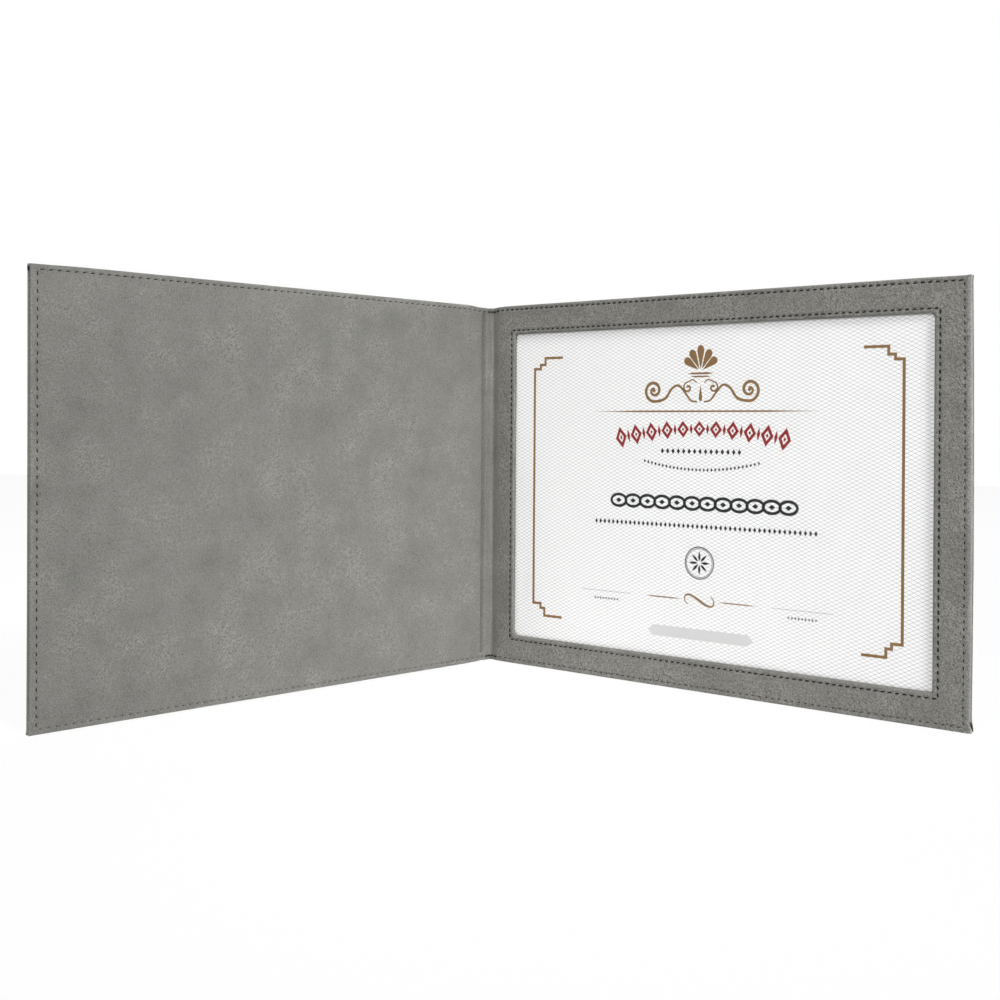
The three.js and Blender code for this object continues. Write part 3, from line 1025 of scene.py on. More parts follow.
def make_leatherette(name, streak, wrinkled, contrast):
    """Polyurethane leatherette with a brushed, nubuck-like skin: matt, softly clouded by the embossing, with
    a fine pebble of under half a millimetre, and short wrinkles along a streak's direction. wrinkled is the
    wrinkles' share over the pebble in the smoothest and the most creased patches, contrast their tone's."""
    material, tree = new_material(name)
    where = add(tree, "ShaderNodeTexCoord")
    clouds = add(tree, "ShaderNodeTexNoise",
                 {"Vector": (where, "Object"), "Scale": per_metre(CLOUD), "Detail": 5.0, "Roughness": 0.6})
    slanted = add(tree, "ShaderNodeMapping",
                  {"Vector": (where, "Object"), "Rotation": Vector(streak).to_track_quat("Z", "Y").to_euler(),
                   "Scale": (1.0, 1.0, WRINKLE_STRETCH)}, vector_type="TEXTURE")
    wrinkles = add(tree, "ShaderNodeTexNoise",
                   {"Vector": (slanted, 0), "Scale": per_metre(WRINKLE), "Detail": 0.5, "Distortion": 0.4})
    furrows = add(tree, "ShaderNodeMapRange", {"Value": (wrinkles, 0), "From Min": 0.25, "From Max": 0.75})
    grain = add(tree, "ShaderNodeTexNoise",
                {"Vector": (where, "Object"), "Scale": per_metre(PEBBLE), "Detail": 1.0, "Roughness": 0.5})
    patches = add(tree, "ShaderNodeTexNoise",
                  {"Vector": (where, "Object"), "Scale": per_metre(CLOUD), "Detail": 2.0})
    patch = add(tree, "ShaderNodeMapRange",
                {"Value": (patches, 0), "From Min": 0.4, "From Max": 0.62,
                 "To Min": wrinkled[0], "To Max": wrinkled[1]})
    skin = add(tree, "ShaderNodeMix", {0: (patch, 0), 2: (grain, 0), 3: (furrows, 0)}, data_type="FLOAT")
    cloud_tone = add(tree, "ShaderNodeMapRange",
                     {"Value": (clouds, 0), "From Min": 0.2, "From Max": 0.8,
                      "To Min": -CLOUD_TONE, "To Max": CLOUD_TONE}, clamp=False)
    fine_tone = add(tree, "ShaderNodeMapRange",
                    {"Value": (skin, 0), "From Min": 0.2, "From Max": 0.8,
                     "To Min": 0.5 - contrast / 2, "To Max": 0.5 + contrast / 2}, clamp=False)
    tone = add(tree, "ShaderNodeMath",
               {0: (cloud_tone, 0), 1: (fine_tone, 0)}, operation="ADD", use_clamp=True)
    colour = add(tree, "ShaderNodeMix",
                 {"Factor": (tone, 0), "A": linear("#4f4e4a"), "B": linear("#8d8c87")}, data_type="RGBA")
    gloss = add(tree, "ShaderNodeMapRange",
                {"Value": (skin, 0), "From Min": 0.3, "From Max": 0.7, "To Min": 0.5, "To Max": 0.66})
    bump = add(tree, "ShaderNodeBump",
               {"Height": (skin, 0), "Strength": contrast * 0.6, "Distance": BUMP * MM})
    shader = add(tree, "ShaderNodeBsdfPrincipled",
                 {"Base Color": (colour, "Result"), "Roughness": (gloss, 0), "Normal": (bump, 0),
                  "Sheen Weight": 0.05, "Sheen Roughness": 0.5, "Specular IOR Level": 0.3})
    add(tree, "ShaderNodeOutputMaterial", {"Surface": (shader, 0)})
    return material


def make_thread_with_hole_shade():
    """Twisted polyester sewing thread: dull, with the light and dark of its plies. Its near-black charcoal is
    painted shade of the needle holes between stitches.
    """
    material, tree = new_material("polyester thread darkened with needle-hole shade")
    where = add(tree, "ShaderNodeTexCoord")
    plies = add(tree, "ShaderNodeTexNoise",
                {"Vector": (where, "Object"), "Scale": per_metre(PLY), "Detail": 1.0})
    # Near-black tones: painted shade of the seam's needle holes, carried by the thread
    colour = add(tree, "ShaderNodeMix",
                 {"Factor": (plies, 0), "A": linear("#0e0e0d"), "B": linear("#2b2a28")}, data_type="RGBA")
    gloss = add(tree, "ShaderNodeMapRange", {"Value": (plies, 0), "To Min": 0.6, "To Max": 0.85})
    bump = add(tree, "ShaderNodeBump", {"Height": (plies, 0), "Strength": 0.4, "Distance": BUMP * MM})
    shader = add(tree, "ShaderNodeBsdfPrincipled",
                 {"Base Color": (colour, "Result"), "Roughness": (gloss, 0), "Normal": (bump, 0),
                  "Sheen Weight": 0.02, "Specular IOR Level": 0.15})
    add(tree, "ShaderNodeOutputMaterial", {"Surface": (shader, 0)})
    return material


def make_pressed_board(name, dark, light):
    """Pressed pulp: matt, flecked with fibres of its grey stock."""
    material, tree = new_material(name)
    where = add(tree, "ShaderNodeTexCoord")
    fibres = add(tree, "ShaderNodeTexNoise",
                 {"Vector": (where, "Object"), "Scale": per_metre(FIBRE), "Detail": 5.0})
    colour = add(tree, "ShaderNodeMix",
                 {"Factor": (fibres, 0), "A": linear(dark), "B": linear(light)}, data_type="RGBA")
    bump = add(tree, "ShaderNodeBump", {"Height": (fibres, 0), "Strength": 0.3, "Distance": BUMP * MM})
    shader = add(tree, "ShaderNodeBsdfPrincipled",
                 {"Base Color": (colour, "Result"), "Normal": (bump, 0),
                  "Roughness": 0.95, "Specular IOR Level": 0.1})
    add(tree, "ShaderNodeOutputMaterial", {"Surface": (shader, 0)})
    return material


def make_certificate_paper():
    """Smooth white stock with a pale printed lattice of slightly waving lines, darker where they cross."""
    material, tree = new_material("printed certificate paper")
    where = add(tree, "ShaderNodeTexCoord")
    sway = add(tree, "ShaderNodeTexNoise",
               {"Vector": (where, "Object"), "Scale": per_metre(SWAY), "Detail": 1.0})
    place = add(tree, "ShaderNodeSeparateXYZ", {"Vector": (where, "Object")})
    across = add(tree, "ShaderNodeMath", {0: (place, "X"), 1: per_metre(LATTICE_WIDTH)}, operation="MULTIPLY")
    swayed = add(tree, "ShaderNodeMath", {0: (sway, 0), 1: 0.5, 2: (across, 0)}, operation="MULTIPLY_ADD")
    up = add(tree, "ShaderNodeMath", {0: (place, "Z"), 1: per_metre(LATTICE_HEIGHT)}, operation="MULTIPLY")
    lines = []
    for operation in ("ADD", "SUBTRACT"):
        slope = add(tree, "ShaderNodeMath", {0: (swayed, 0), 1: (up, 0)}, operation=operation)
        cell = add(tree, "ShaderNodeMath", {0: (slope, 0), 1: 0.5}, operation="PINGPONG")
        lines.append(add(tree, "ShaderNodeMapRange",
                         {"Value": (cell, 0), "From Min": 0.0, "From Max": LATTICE_LINE,
                          "To Min": 1.0, "To Max": 0.0}, interpolation_type="SMOOTHSTEP"))
    ink = add(tree, "ShaderNodeMath", {0: (lines[0], 0), 1: (lines[1], 0)}, operation="ADD")
    share = add(tree, "ShaderNodeMath", {0: (ink, 0), 1: 0.5}, operation="MULTIPLY")
    colour = add(tree, "ShaderNodeMix",
                 {"Factor": (share, 0), "A": linear("#f5f5f5"), "B": linear("#555555")}, data_type="RGBA")
    shader = add(tree, "ShaderNodeBsdfPrincipled", {"Base Color": (colour, "Result"), "Roughness": 0.7})
    add(tree, "ShaderNodeOutputMaterial", {"Surface": (shader, 0)})
    return material


def make_ink(name, dark, light):
    """Printing ink on paper: flat, with the faint mottle of its coverage."""
    material, tree = new_material(name)
    where = add(tree, "ShaderNodeTexCoord")
    mottle = add(tree, "ShaderNodeTexNoise",
                 {"Vector": (where, "Object"), "Scale": per_metre(MOTTLE), "Detail": 3.0})
    colour = add(tree, "ShaderNodeMix",
                 {"Factor": (mottle, 0), "A": linear(dark), "B": linear(light)}, data_type="RGBA")
    shader = add(tree, "ShaderNodeBsdfPrincipled",
                 {"Base Color": (colour, "Result"), "Roughness": 0.75, "Specular IOR Level": 0.2})
    add(tree, "ShaderNodeOutputMaterial", {"Surface": (shader, 0)})
    return material


def make_clear_sheet():
    """Clear flexible PVC: all but unseen, with a soft gloss and the slight haze of a calendered sheet."""
    material, tree = new_material("clear calendered PVC")
    where = add(tree, "ShaderNodeTexCoord")
    haze = add(tree, "ShaderNodeTexNoise",
               {"Vector": (where, "Object"), "Scale": per_metre(HAZE), "Detail": 2.0})
    gloss = add(tree, "ShaderNodeMapRange", {"Value": (haze, 0), "To Min": 0.12, "To Max": 0.3})
    shader = add(tree, "ShaderNodeBsdfPrincipled",
                 {"Base Color": linear("#f6f8f8"), "Roughness": (gloss, 0), "Alpha": 0.012, "IOR": 1.53})
    add(tree, "ShaderNodeOutputMaterial", {"Surface": (shader, 0)})
    return material


leatherette = make_leatherette("brushed polyurethane leatherette", (0.15, 1, 1), (0.0, 0.5), 1.05)
frame_leatherette = make_leatherette("creased polyurethane leatherette", (1, 0, -1), (0.2, 0.6), 1.6)
thread_with_hole_shade = make_thread_with_hole_shade()
# Near black: the boards' dark core, darkened further as painted shade for the gaping mitre slits that show
# it.
core_board_and_gap_shade = make_pressed_board("pressed board darkened as gap shade", "#070707", "#161615")
thin_card = make_pressed_board("grey pressed card", "#3f3d39", "#57554f")
backing_cloth = make_pressed_board("dark non-woven backing", "#2d2d2c", "#444442")
certificate_paper = make_certificate_paper()
bronze_ink = make_ink("bronze printing ink", "#6f512b", "#8a683e")
red_ink = make_ink("red printing ink", "#7a0e0e", "#921717")
black_ink = make_ink("black printing ink", "#0b0b0b", "#1a1a1a")
grey_ink = make_ink("grey printing ink", "#c4c4c4", "#d2d2d2")
clear_sheet = make_clear_sheet()
LOCKSTITCH = stitch_tree()


# Printed ornaments on the certificate, drawn in width and height

INK_LEVEL = PAPER_LEVEL + 0.02
INK_BODY = 0.03
PRINT_CENTRE = 148.6
SIDE_CENTRES = (85.0, 212.0)
BRACKET_LINE = 1.6
ROWS = SimpleNamespace(
    shell=183.6, scroll=172.8, rule=160.8, arch=150.6, short_beads=137.6, garland=131.6,
    chain=107.6, long_beads=94.4, rosette=73.5, knot=52.0, side_beads=47.6, plate=32.2)


class Print:
    """Flat ink shapes of one colour, gathered into one thin closed mesh."""

    def __init__(self, name, material):
        self.name = name
        self.material = material
        self.points = []
        self.faces = []

    def patch(self, outline):
        """One convex or simply bent outline, given counter-clockwise."""
        start = len(self.points)
        self.points += [tuple(p) for p in outline]
        self.faces.append(list(range(start, start + len(outline))))

    def stroke(self, points, widths):
        """Ribbon along points, with a width at each."""
        points = np.array(points, float)
        normal = left_of(np.gradient(points, axis=0))
        half = np.broadcast_to(np.asarray(widths, float) / 2, len(points))[:, None]
        start = len(self.points)
        for left, right in zip(points + normal * half, points - normal * half):
            self.points += [tuple(left), tuple(right)]
        for i in range(len(points) - 1):
            a = start + 2 * i
            self.faces.append([a + 1, a + 3, a + 2, a])

    def lay(self):
        plane = np.array(self.points)
        body = bmesh.new()
        verts = [body.verts.new(Vector(p)) for p in on_back(plane[:, 0], INK_LEVEL, plane[:, 1])]
        for face in self.faces:
            body.faces.new([verts[i] for i in face])
        bmesh.ops.remove_doubles(body, verts=body.verts, dist=WELD)
        flat = body.faces[:]
        walls = [edge.verts[:] for edge in body.edges if edge.is_boundary]
        rise = Vector(on_back.inwards) * INK_BODY * MM
        lifted = {vert: body.verts.new(vert.co + rise) for vert in body.verts[:]}
        for face in flat:
            body.faces.new([lifted[vert] for vert in face.verts])
        for start, end in walls:
            body.faces.new([start, end, lifted[end], lifted[start]])
        bmesh.ops.recalc_face_normals(body, faces=body.faces)
        mesh = bpy.data.meshes.new(self.name)
        body.to_mesh(mesh)
        body.free()
        return piece(self.name, mesh, self.material, sharp=30)


def mirrored(points):
    return [(2 * PRINT_CENTRE - u, z) for u, z in points]


def corner_line(points, width):
    """Outline of a line with square corners, as one band of mitred segments."""
    points = np.array(points, float)
    normal = left_of(np.diff(points, axis=0))
    joints = [normal[0], *(normal[:-1] + normal[1:]), normal[-1]]
    left = [p + j * width / 2 for p, j in zip(points, joints)]
    right = [p - j * width / 2 for p, j in zip(points, joints)]
    return [[right[i], right[i + 1], left[i + 1], left[i]] for i in range(len(points) - 1)]


def stepped_brackets(ink):
    """Tall bracket down each side, with two steps at each end."""
    edge, inner, tip = 30.0, 38.2, 51.6
    top, middle, bottom = 194.4, 113.5, 32.5
    rise = [(edge, middle), (edge, top - 6.8), (34.6, top - 6.8), (34.6, top - 4.2),
            (inner, top - 4.2), (inner, top), (tip, top)]
    fall = [(edge, middle), (edge, bottom + 7.4), (35.6, bottom + 7.4), (35.6, bottom + 4.6),
            (inner + 0.4, bottom + 4.6), (inner + 0.4, bottom), (tip + 0.4, bottom)]
    for side in (rise, fall):
        for line in (side, mirrored(side)):
            for quad in corner_line(line, BRACKET_LINE):
                ink.patch(quad)


def tapered_rule(ink, centre, height, half_span, width):
    share = np.linspace(0, 1, 25)
    taper = np.clip(np.sin(math.pi * share) * 1.6, 0.03, 1)
    ends = (centre - half_span, height), (centre + half_span, height)
    ink.stroke(np.linspace(*ends, len(share)), width * taper)


def curve_through(points, steps):
    """Smooth line through points in plan."""
    points = np.array(points, float)
    padded = np.concatenate([2 * points[:1] - points[1:2], points, 2 * points[-1:] - points[-2:-1]])
    line = []
    for a, b, c, d in zip(padded, padded[1:], padded[2:], padded[3:]):
        for t in np.linspace(0, 1, steps, endpoint=False):
            line.append(0.5 * (2 * b + (c - a) * t + (2 * a - 5 * b + 4 * c - d) * t ** 2
                               + (3 * b - a - 3 * c + d) * t ** 3))
    return np.array([*line, points[-1]])


def volute(centre, radius, turns, start_angle, spin):
    """Spiral from its eye outwards, to a point at the start angle."""
    share = np.linspace(0, 1, 15)
    angle = start_angle - spin * 2 * math.pi * turns * (1 - share)
    reach = radius * (0.16 + 0.84 * share ** 1.2)
    return [(centre[0] + r * math.cos(a), centre[1] + r * math.sin(a)) for a, r in zip(angle, reach)]


def scroll(ink, centre, height):
    """Scrolled flourish to both sides: a volute with an eye at its end, and a wave towards the middle."""
    aside = 31.0
    eye = (centre - aside, height + 0.2)
    wave = [(-23.5, -4.6), (-19.0, 1.2), (-14.5, 3.0), (-10.4, -0.8), (-6.4, -5.6), (-2.2, -6.6)]
    line = curve_through(volute(eye, 6.4, 1.6, -0.5 * math.pi, 1)
                         + [(centre + u, height + z) for u, z in wave], 5)
    share = np.linspace(0, 1, len(line))
    width = 0.9 + 0.9 * np.sin(math.pi * share) ** 0.8
    curl = curve_through(volute((centre - 8.2, height + 1.6), 3.4, 1.2, 0.5 * math.pi, -1)
                         + [(centre - 5.0, height + 6.2), (centre - 2.4, height + 4.4)], 5)
    curl_width = np.linspace(1.5, 0.7, len(curl))
    for outline, thick in ((line, width), (curl, curl_width)):
        ink.stroke(outline, thick)
        ink.stroke(mirrored(outline), thick)
    for end in (centre - aside, centre + aside):
        lozenge(ink, (end, eye[1]), 1.3, 1.3)
    lobe(ink, (centre, height + 3.2), -math.pi / 2, 9.6, 2.2)


def blade(ink, root, angle, length, widths):
    """Straight ribbon from its root, with widths spread evenly along it."""
    share = np.linspace(0, 1, len(widths))[:, None]
    ink.stroke(np.array(root) + share * length * np.array([math.cos(angle), math.sin(angle)]), widths)


def lobe(ink, root, angle, length, width):
    """Drop-shaped lobe, rounded at its far end."""
    share = np.linspace(0, 1, 19)
    swelling = np.where(share < 0.75, (share / 0.75) ** 0.9,
                        np.sqrt(np.clip(1 - ((share - 0.75) / 0.25) ** 2, 0, 1)))
    blade(ink, root, angle, length, np.clip(width * swelling, 0.08, None))


def shell_ornament(ink, centre, height):
    """Scallop of rounded lobes over two small bars, a common classical ornament."""
    for step in range(-2, 3):
        angle = math.pi / 2 - step * math.radians(27)
        root = (centre + 1.8 * math.cos(angle), height + 1.8 * math.sin(angle))
        lobe(ink, root, angle, 13.6 - 1.2 * abs(step), 4.6)
    tapered_rule(ink, centre, height - 1.0, half_span=8.5, width=1.1)
    tapered_rule(ink, centre, height - 2.8, half_span=6.5, width=0.9)


def leaf(ink, root, angle, length, width):
    """Pointed leaf from its root."""
    share = np.linspace(0, 1, 13)
    blade(ink, root, angle, length, np.clip(width * np.sin(math.pi * share ** 0.8), 0.05, None))


def lozenge_corners(centre, half_width, half_height, turn):
    corners = [(half_width, 0), (0, half_height), (-half_width, 0), (0, -half_height)]
    c, s = math.cos(turn), math.sin(turn)
    return [(centre[0] + c * x - s * y, centre[1] + s * x + c * y) for x, y in corners]


def lozenge(ink, centre, half_width, half_height, turn=0.0):
    ink.patch(lozenge_corners(centre, half_width, half_height, turn))


def open_lozenge(ink, centre, half_width, half_height, line, turn):
    """Lozenge drawn as a line, with a small one inside."""
    inner = 1 - line / half_width
    outer = lozenge_corners(centre, half_width, half_height, turn)
    inside = lozenge_corners(centre, inner * half_width, inner * half_height, turn)
    for i in range(4):
        j = (i + 1) % 4
        ink.patch([outer[i], outer[j], inside[j], inside[i]])
    lozenge(ink, centre, half_width * 0.2, half_height * 0.2, turn)


def oval(ink, centre, half_width, half_height, line, steps):
    angles = np.linspace(0, 2 * math.pi, steps)
    ring = [centre[0] + half_width * np.cos(angles), centre[1] + half_height * np.sin(angles)]
    ink.stroke(np.stack(ring, axis=1), line)


def arched_border(ink, centre, height, half_span, sag, count):
    """Arch of open lozenges with slim solid ones between them, taller towards its ends."""
    radius = (half_span ** 2 + sag ** 2) / (2 * sag)
    limit = math.asin(half_span / radius)
    for i in range(2 * count - 1):
        angle = limit * (i / (count - 1) - 1)
        spot = (centre + radius * math.sin(angle), height - radius + radius * math.cos(angle))
        tall = 4.6 + 1.9 * abs(angle) / limit
        if i % 2:
            lozenge(ink, spot, 1.0, 0.66 * tall, -angle)
        else:
            open_lozenge(ink, spot, 3.9, tall, 2.0, -angle)


def bead_row(ink, centre, height, half_span, count, half_width, half_height, sag=0.0):
    """Row of small lozenges, hanging by a sag in its middle."""
    for share in np.linspace(-1, 1, count):
        drop = sag * (1 - share ** 2)
        lozenge(ink, (centre + share * half_span, height - drop), half_width, half_height)


def chain(ink, centre, height, half_span, count, half_height, line):
    """Row of oval links with a bead in each."""
    step = 2 * half_span / count
    for i in range(count):
        middle = (centre - half_span + (i + 0.5) * step, height)
        oval(ink, middle, step / 2 + 0.2, half_height, line, 33)
        lozenge(ink, middle, step * 0.2, half_height * 0.42)


def rosette(ink, centre, height, petals):
    """Rosette of leaves with two rings round it."""
    for i in range(petals):
        angle = 2 * math.pi * i / petals + math.pi / 2
        leaf(ink, (centre + 1.2 * math.cos(angle), height + 1.2 * math.sin(angle)), angle, 5.6, 1.5)
    for radius, width in ((8.3, 0.35), (9.2, 0.6)):
        oval(ink, (centre, height), radius, radius, width, 49)


def knot(ink, centre, height):
    """Small lying S with curled ends between two tapered rules."""
    share = np.linspace(-1, 1, 41)
    line = [centre + 9.5 * np.sin(share * math.pi * 0.72), height - 3.0 * np.sin(share * math.pi * 1.35)]
    ink.stroke(np.stack(line, axis=1), 0.5 + 0.9 * (1 - np.abs(share)))
    for aside in (-24, 24):
        tapered_rule(ink, centre + aside, height, half_span=12, width=0.7)


def number_plate(ink, centre, height, half_width, half_height):
    """Bare plate with pointed ends."""
    shoulder = half_width - half_height * 1.1
    outline = [(-half_width, 0), (-shoulder, -half_height), (shoulder, -half_height),
               (half_width, 0), (shoulder, half_height), (-shoulder, half_height)]
    ink.patch([(centre + u, height + z) for u, z in outline])


def print_certificate():
    """Ornaments of each ink, on rows of the sheet."""
    centre = PRINT_CENTRE
    bronze = Print("certificate_bronze_print", bronze_ink)
    stepped_brackets(bronze)
    scroll(bronze, centre, ROWS.scroll)
    shell_ornament(bronze, centre, ROWS.shell)
    tapered_rule(bronze, centre, ROWS.rule, half_span=73, width=0.95)
    knot(bronze, centre, ROWS.knot)
    red = Print("certificate_red_print", red_ink)
    arched_border(red, centre - 0.6, ROWS.arch, half_span=53.0, sag=5.4, count=11)
    black = Print("certificate_black_print", black_ink)
    bead_row(black, centre, ROWS.short_beads, half_span=25, count=15, half_width=1.1, half_height=1.7)
    bead_row(black, centre, ROWS.garland, half_span=37, count=31, half_width=0.75, half_height=1.1, sag=4.6)
    chain(black, centre, ROWS.chain, half_span=60, count=12, half_height=3.5, line=1.7)
    bead_row(black, centre, ROWS.long_beads, half_span=71, count=48, half_width=0.95, half_height=1.6)
    rosette(black, centre, ROWS.rosette, petals=8)
    for side in SIDE_CENTRES:
        bead_row(black, side, ROWS.knot, half_span=17, count=29, half_width=0.35, half_height=0.3)
        bead_row(black, side, ROWS.side_beads, half_span=8, count=9, half_width=0.6, half_height=0.9)
    grey = Print("certificate_number_plate", grey_ink)
    number_plate(grey, centre, ROWS.plate, half_width=34.2, half_height=3.2)
    return [ink.lay() for ink in (bronze, red, black, grey)]


# Pieces on their bodies

def ride(thing, body, slot, *nodes):
    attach(thing, body)
    if nodes:
        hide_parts(*nodes)


ride(
    cover_skin("front_lining_leather", FRONT, front_lining_relief,
               (FRONT_THICKNESS, FRONT_THICKNESS - LEATHERETTE, FRONT_PARTING + LAYER_GAP / 2),
               FRONT_PARTING_ROLL, under_crease),
    "front_cover", "leatherette", "front_lining")
ride(
    cover_skin("front_outer_leather", FRONT, cover_relief(FRONT_RUNS, OUTER_ROLL),
               (0.0, LEATHERETTE, FRONT_PARTING - FRONT_PARTING_GAP), FRONT_PARTING_ROLL),
    "front_cover", "leatherette", "front_outer_cover")
ride(
    cover_skin("back_outer_leather", BACK, cover_relief(BACK_RUNS, OUTER_ROLL),
               (0.0, LEATHERETTE, BACK_PARTING - LAYER_GAP / 2), PARTING_ROLL),
    "back_cover", "leatherette", "back_outer_cover")
ride(window_frame("window_frame_leather", BACK), "back_cover", "leatherette", "window_frame")
# Near-black slivers at two mitred corners: painted shade of the gaps, on the dark core board
ride(mitre_slit_shade("front_corner_slit_shade", FRONT, *FRONT_SLIT), "front_cover", "greyboard")
ride(mitre_slit_shade("back_corner_slit_shade", BACK, *BACK_SLIT), "back_cover", "greyboard")


# Soft spine: each half runs between its cover and the middle of the spine


def fold(thing, nodes):
    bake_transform(thing)
    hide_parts(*nodes)


FRONT_HALF = SimpleNamespace(
    bodies=("front_cover", "spine"), drops=(float(front_dip(COVER_START)), SPINE_DIP))
BACK_HALF = SimpleNamespace(
    bodies=("spine", "back_cover"), drops=(SPINE_DIP, float(back_dip(COVER_START))))
lining_front, lining_back = gutter_paths(0.0)
under_front, under_back = gutter_paths(FRAME_LEATHERETTE)
inner_front, inner_back = gutter_paths(FRAME_LEATHERETTE + LAYER_GAP)
outer_front, outer_back = spine_paths(0.0)
for name, half, face, under, nodes in (
    ("front_gutter_lining", FRONT_HALF, lining_front, under_front, ["front_fold_lining", "spine_lining"]),
    ("back_gutter_lining", BACK_HALF, lining_back, under_back, ["back_fold_lining"]),
    ("front_spine_leather", FRONT_HALF, outer_front, inner_front,
     ["front_fold_outer", "spine_outer_strip", "spine_stiffener"]),
    ("back_spine_leather", BACK_HALF, outer_back, inner_back, ["back_fold_outer"]),
):
    fold(fold_leather(name, face, under, half.drops), nodes)

# Seams: on the covers' inner (1) and outer (-1) faces, then over the spine, each with its own seed
for name, cover, runs, side, pitch, seed, node in (
    ("front_border_stitches", FRONT, FRONT_RUNS, 1, FRONT_PITCH, 3, "front_border_needle_thread"),
    ("front_outer_stitches", FRONT, FRONT_RUNS, -1, FRONT_PITCH, 4, "front_border_bobbin_thread"),
    ("back_border_stitches", BACK, BACK_RUNS, 1, BACK_PITCH, 5, "back_border_needle_thread"),
    ("back_outer_stitches", BACK, BACK_RUNS, -1, BACK_PITCH, 6, "back_border_bobbin_thread"),
    ("window_stitches", BACK, WINDOW_RUNS, 1, WINDOW_PITCH, 7, "window_needle_thread"),
):
    stitches = sew(name, flat_runs(runs, cover, side), pitch * STITCH_SHARE, cover.thread, seed)
    ride(stitches, cover.body, "thread", node)
for name, half, path, side, thread, seed, node in (
    ("front_gutter_stitches", FRONT_HALF, lining_front, 1, FRONT_THREAD, 8, "spine_top_needle_thread"),
    ("back_gutter_stitches", BACK_HALF, lining_back, 1, BACK_THREAD, 9, "spine_bottom_needle_thread"),
    ("front_spine_stitches", FRONT_HALF, outer_front, -1, FRONT_THREAD, 10, "spine_top_bobbin_thread"),
    ("back_spine_stitches", BACK_HALF, outer_back, -1, FRONT_THREAD, 11, "spine_bottom_bobbin_thread"),
):
    length = GUTTER_STITCH if side > 0 else FOLD_STITCH
    stitches = sew(name, fold_runs(path, side, half.drops), length, thread, seed)
    fold(stitches, [node])

for printed in print_certificate():
    ride(printed, "back_cover", "paper")

# Finishes of the pieces that keep their CAD shape
FINISHES = {
    "front_board": core_board_and_gap_shade,
    "back_board": core_board_and_gap_shade,
    "pocket_backing": backing_cloth,
    "certificate": certificate_paper,
    "clear_window_sheet": clear_sheet,
    "frame_stiffener": thin_card,
    "window_bobbin_thread": thread_with_hole_shade,
}
for node_name, finish in FINISHES.items():
    dress(frame["nodes"][node_name].data, finish)


# Studio

CAMERA_PLACE = (0.37637, -0.48328, 0.1508)
CAMERA_YAW = 38.27
CAMERA_ROLL = 0.42
CAMERA_LENS = 44.77
CAMERA_SHIFT = -0.07285
SENSOR = 36.0
AMBIENT = 0.2
FLOOR_REACH = 3.0
FLOOR_GLOW = 0.94


def place_camera():
    data = bpy.data.cameras.new("photo camera")
    data.sensor_width = SENSOR
    data.lens = CAMERA_LENS
    data.shift_y = CAMERA_SHIFT
    data.clip_start = 0.01
    camera = scene_object("photo camera", data)
    turn = Matrix.Rotation(math.radians(CAMERA_YAW), 4, "Z") @ Matrix.Rotation(math.pi / 2, 4, "X")
    roll = Matrix.Rotation(math.radians(CAMERA_ROLL), 4, "Z")
    camera.matrix_world = Matrix.Translation(CAMERA_PLACE) @ turn @ roll
    bpy.context.scene.camera = camera


def camera_ray(tree):
    """One where a camera, glossy or transmission ray looks at the studio."""
    path = add(tree, "ShaderNodeLightPath")
    seen = add(tree, "ShaderNodeMath",
               {0: (path, "Is Camera Ray"), 1: (path, "Is Glossy Ray")}, operation="MAXIMUM")
    return add(tree, "ShaderNodeMath", {0: (seen, 0), 1: (path, "Is Transmission Ray")}, operation="MAXIMUM")


def light_world():
    """White world to the camera and in reflections, and a weaker light on the holder itself."""
    world = bpy.data.worlds.new("white studio")
    bpy.context.scene.world = world
    world.use_nodes = True
    tree = world.node_tree
    tree.nodes.clear()
    seen = camera_ray(tree)
    strength = add(tree, "ShaderNodeMapRange", {"Value": (seen, 0), "To Min": AMBIENT, "To Max": 1.0})
    background = add(tree, "ShaderNodeBackground", {"Color": (1, 1, 1, 1), "Strength": (strength, 0)})
    add(tree, "ShaderNodeOutputWorld", {"Surface": (background, 0)})


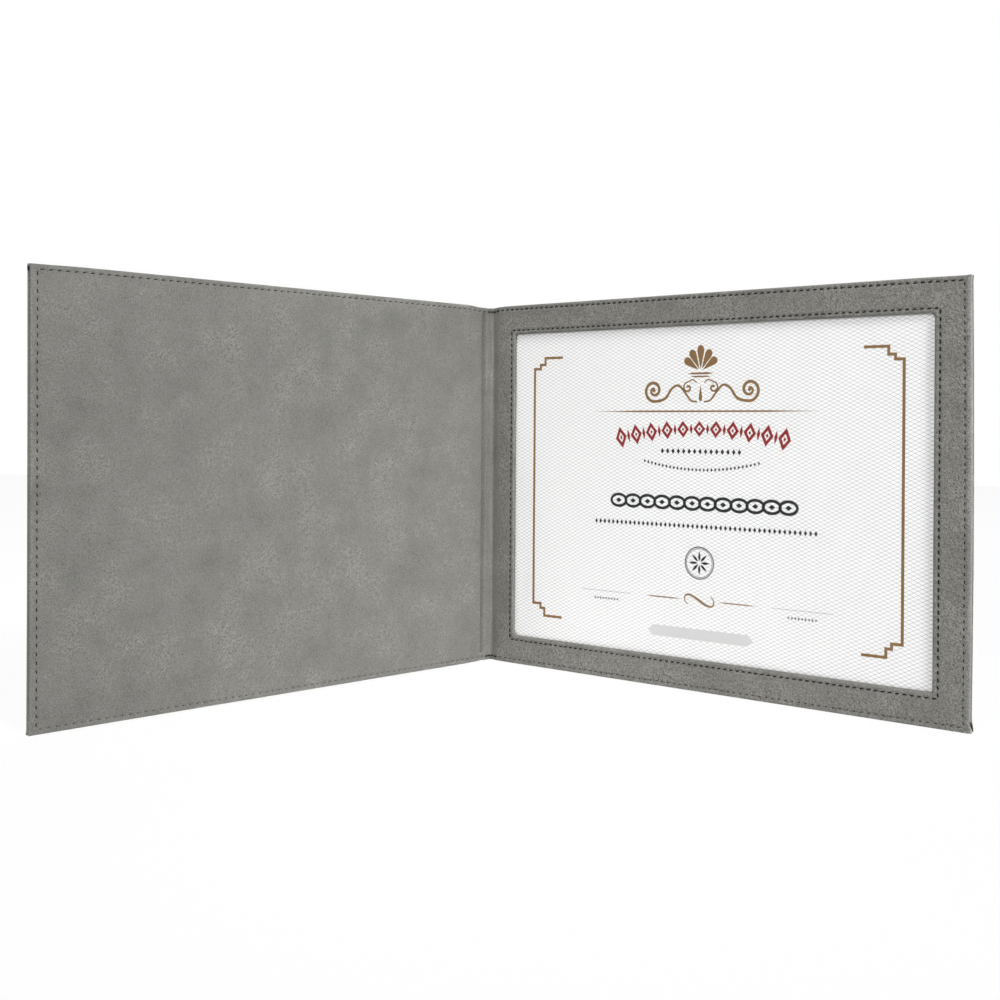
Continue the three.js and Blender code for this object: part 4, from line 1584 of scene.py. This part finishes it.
def lay_floor():
    """White floor, as bright as the world behind it to the camera, with the holder's faint soft shadow."""
    mesh = bpy.data.meshes.new("studio floor")
    corners = [(x * FLOOR_REACH, y * FLOOR_REACH, 0) for x, y in ((-1, -1), (1, -1), (1, 1), (-1, 1))]
    mesh.from_pydata(corners, [], [(0, 1, 2, 3)])
    material, tree = new_material("white studio floor")
    seen = camera_ray(tree)
    part = add(tree, "ShaderNodeMath", {0: (seen, 0), 1: FLOOR_GLOW}, operation="MULTIPLY")
    paint = add(tree, "ShaderNodeBsdfDiffuse", {"Color": linear("#f4f4f4")})
    glow = add(tree, "ShaderNodeEmission", {"Color": (1, 1, 1, 1), "Strength": 1.0})
    mixed = add(tree, "ShaderNodeMixShader", {0: (part, 0), 1: (paint, 0), 2: (glow, 0)})
    add(tree, "ShaderNodeOutputMaterial", {"Surface": (mixed, 0)})
    dress(mesh, material)
    floor = scene_object("studio_floor", mesh)


def area_light(name, azimuth, elevation, distance, size, power, spread=180, aside=0.0):
    """Soft box aimed at the holder's upper edge, or aside of it, placed by its angle from the view."""
    yaw = math.radians(CAMERA_YAW + azimuth)
    rise = math.radians(elevation)
    view = math.radians(CAMERA_YAW)
    aim = Vector((aside * math.cos(view), aside * math.sin(view), HEIGHT * MM))
    level = math.cos(rise)
    place = aim + distance * Vector((math.sin(yaw) * level, -math.cos(yaw) * level, math.sin(rise)))
    data = bpy.data.lights.new(name, "AREA")
    data.shape = "DISK"
    data.size = size
    data.energy = power
    data.spread = math.radians(spread)
    lamp = scene_object(name, data)
    lamp.location = place
    lamp.rotation_euler = (aim - place).to_track_quat("-Z", "Y").to_euler()


place_camera()
light_world()
lay_floor()
area_light("right soft box", azimuth=35, elevation=38, distance=2.2, size=0.7, power=1.93,
           spread=26, aside=0.06)
area_light("left soft box", azimuth=-48, elevation=26, distance=3.6, size=1.45, power=54.5)
area_light("edge soft box", azimuth=100, elevation=0, distance=2.2, size=0.5, power=27)
area_light("rear soft box", azimuth=175, elevation=35, distance=2.2, size=0.9, power=16)
bpy.context.scene.view_settings.view_transform = "Standard"
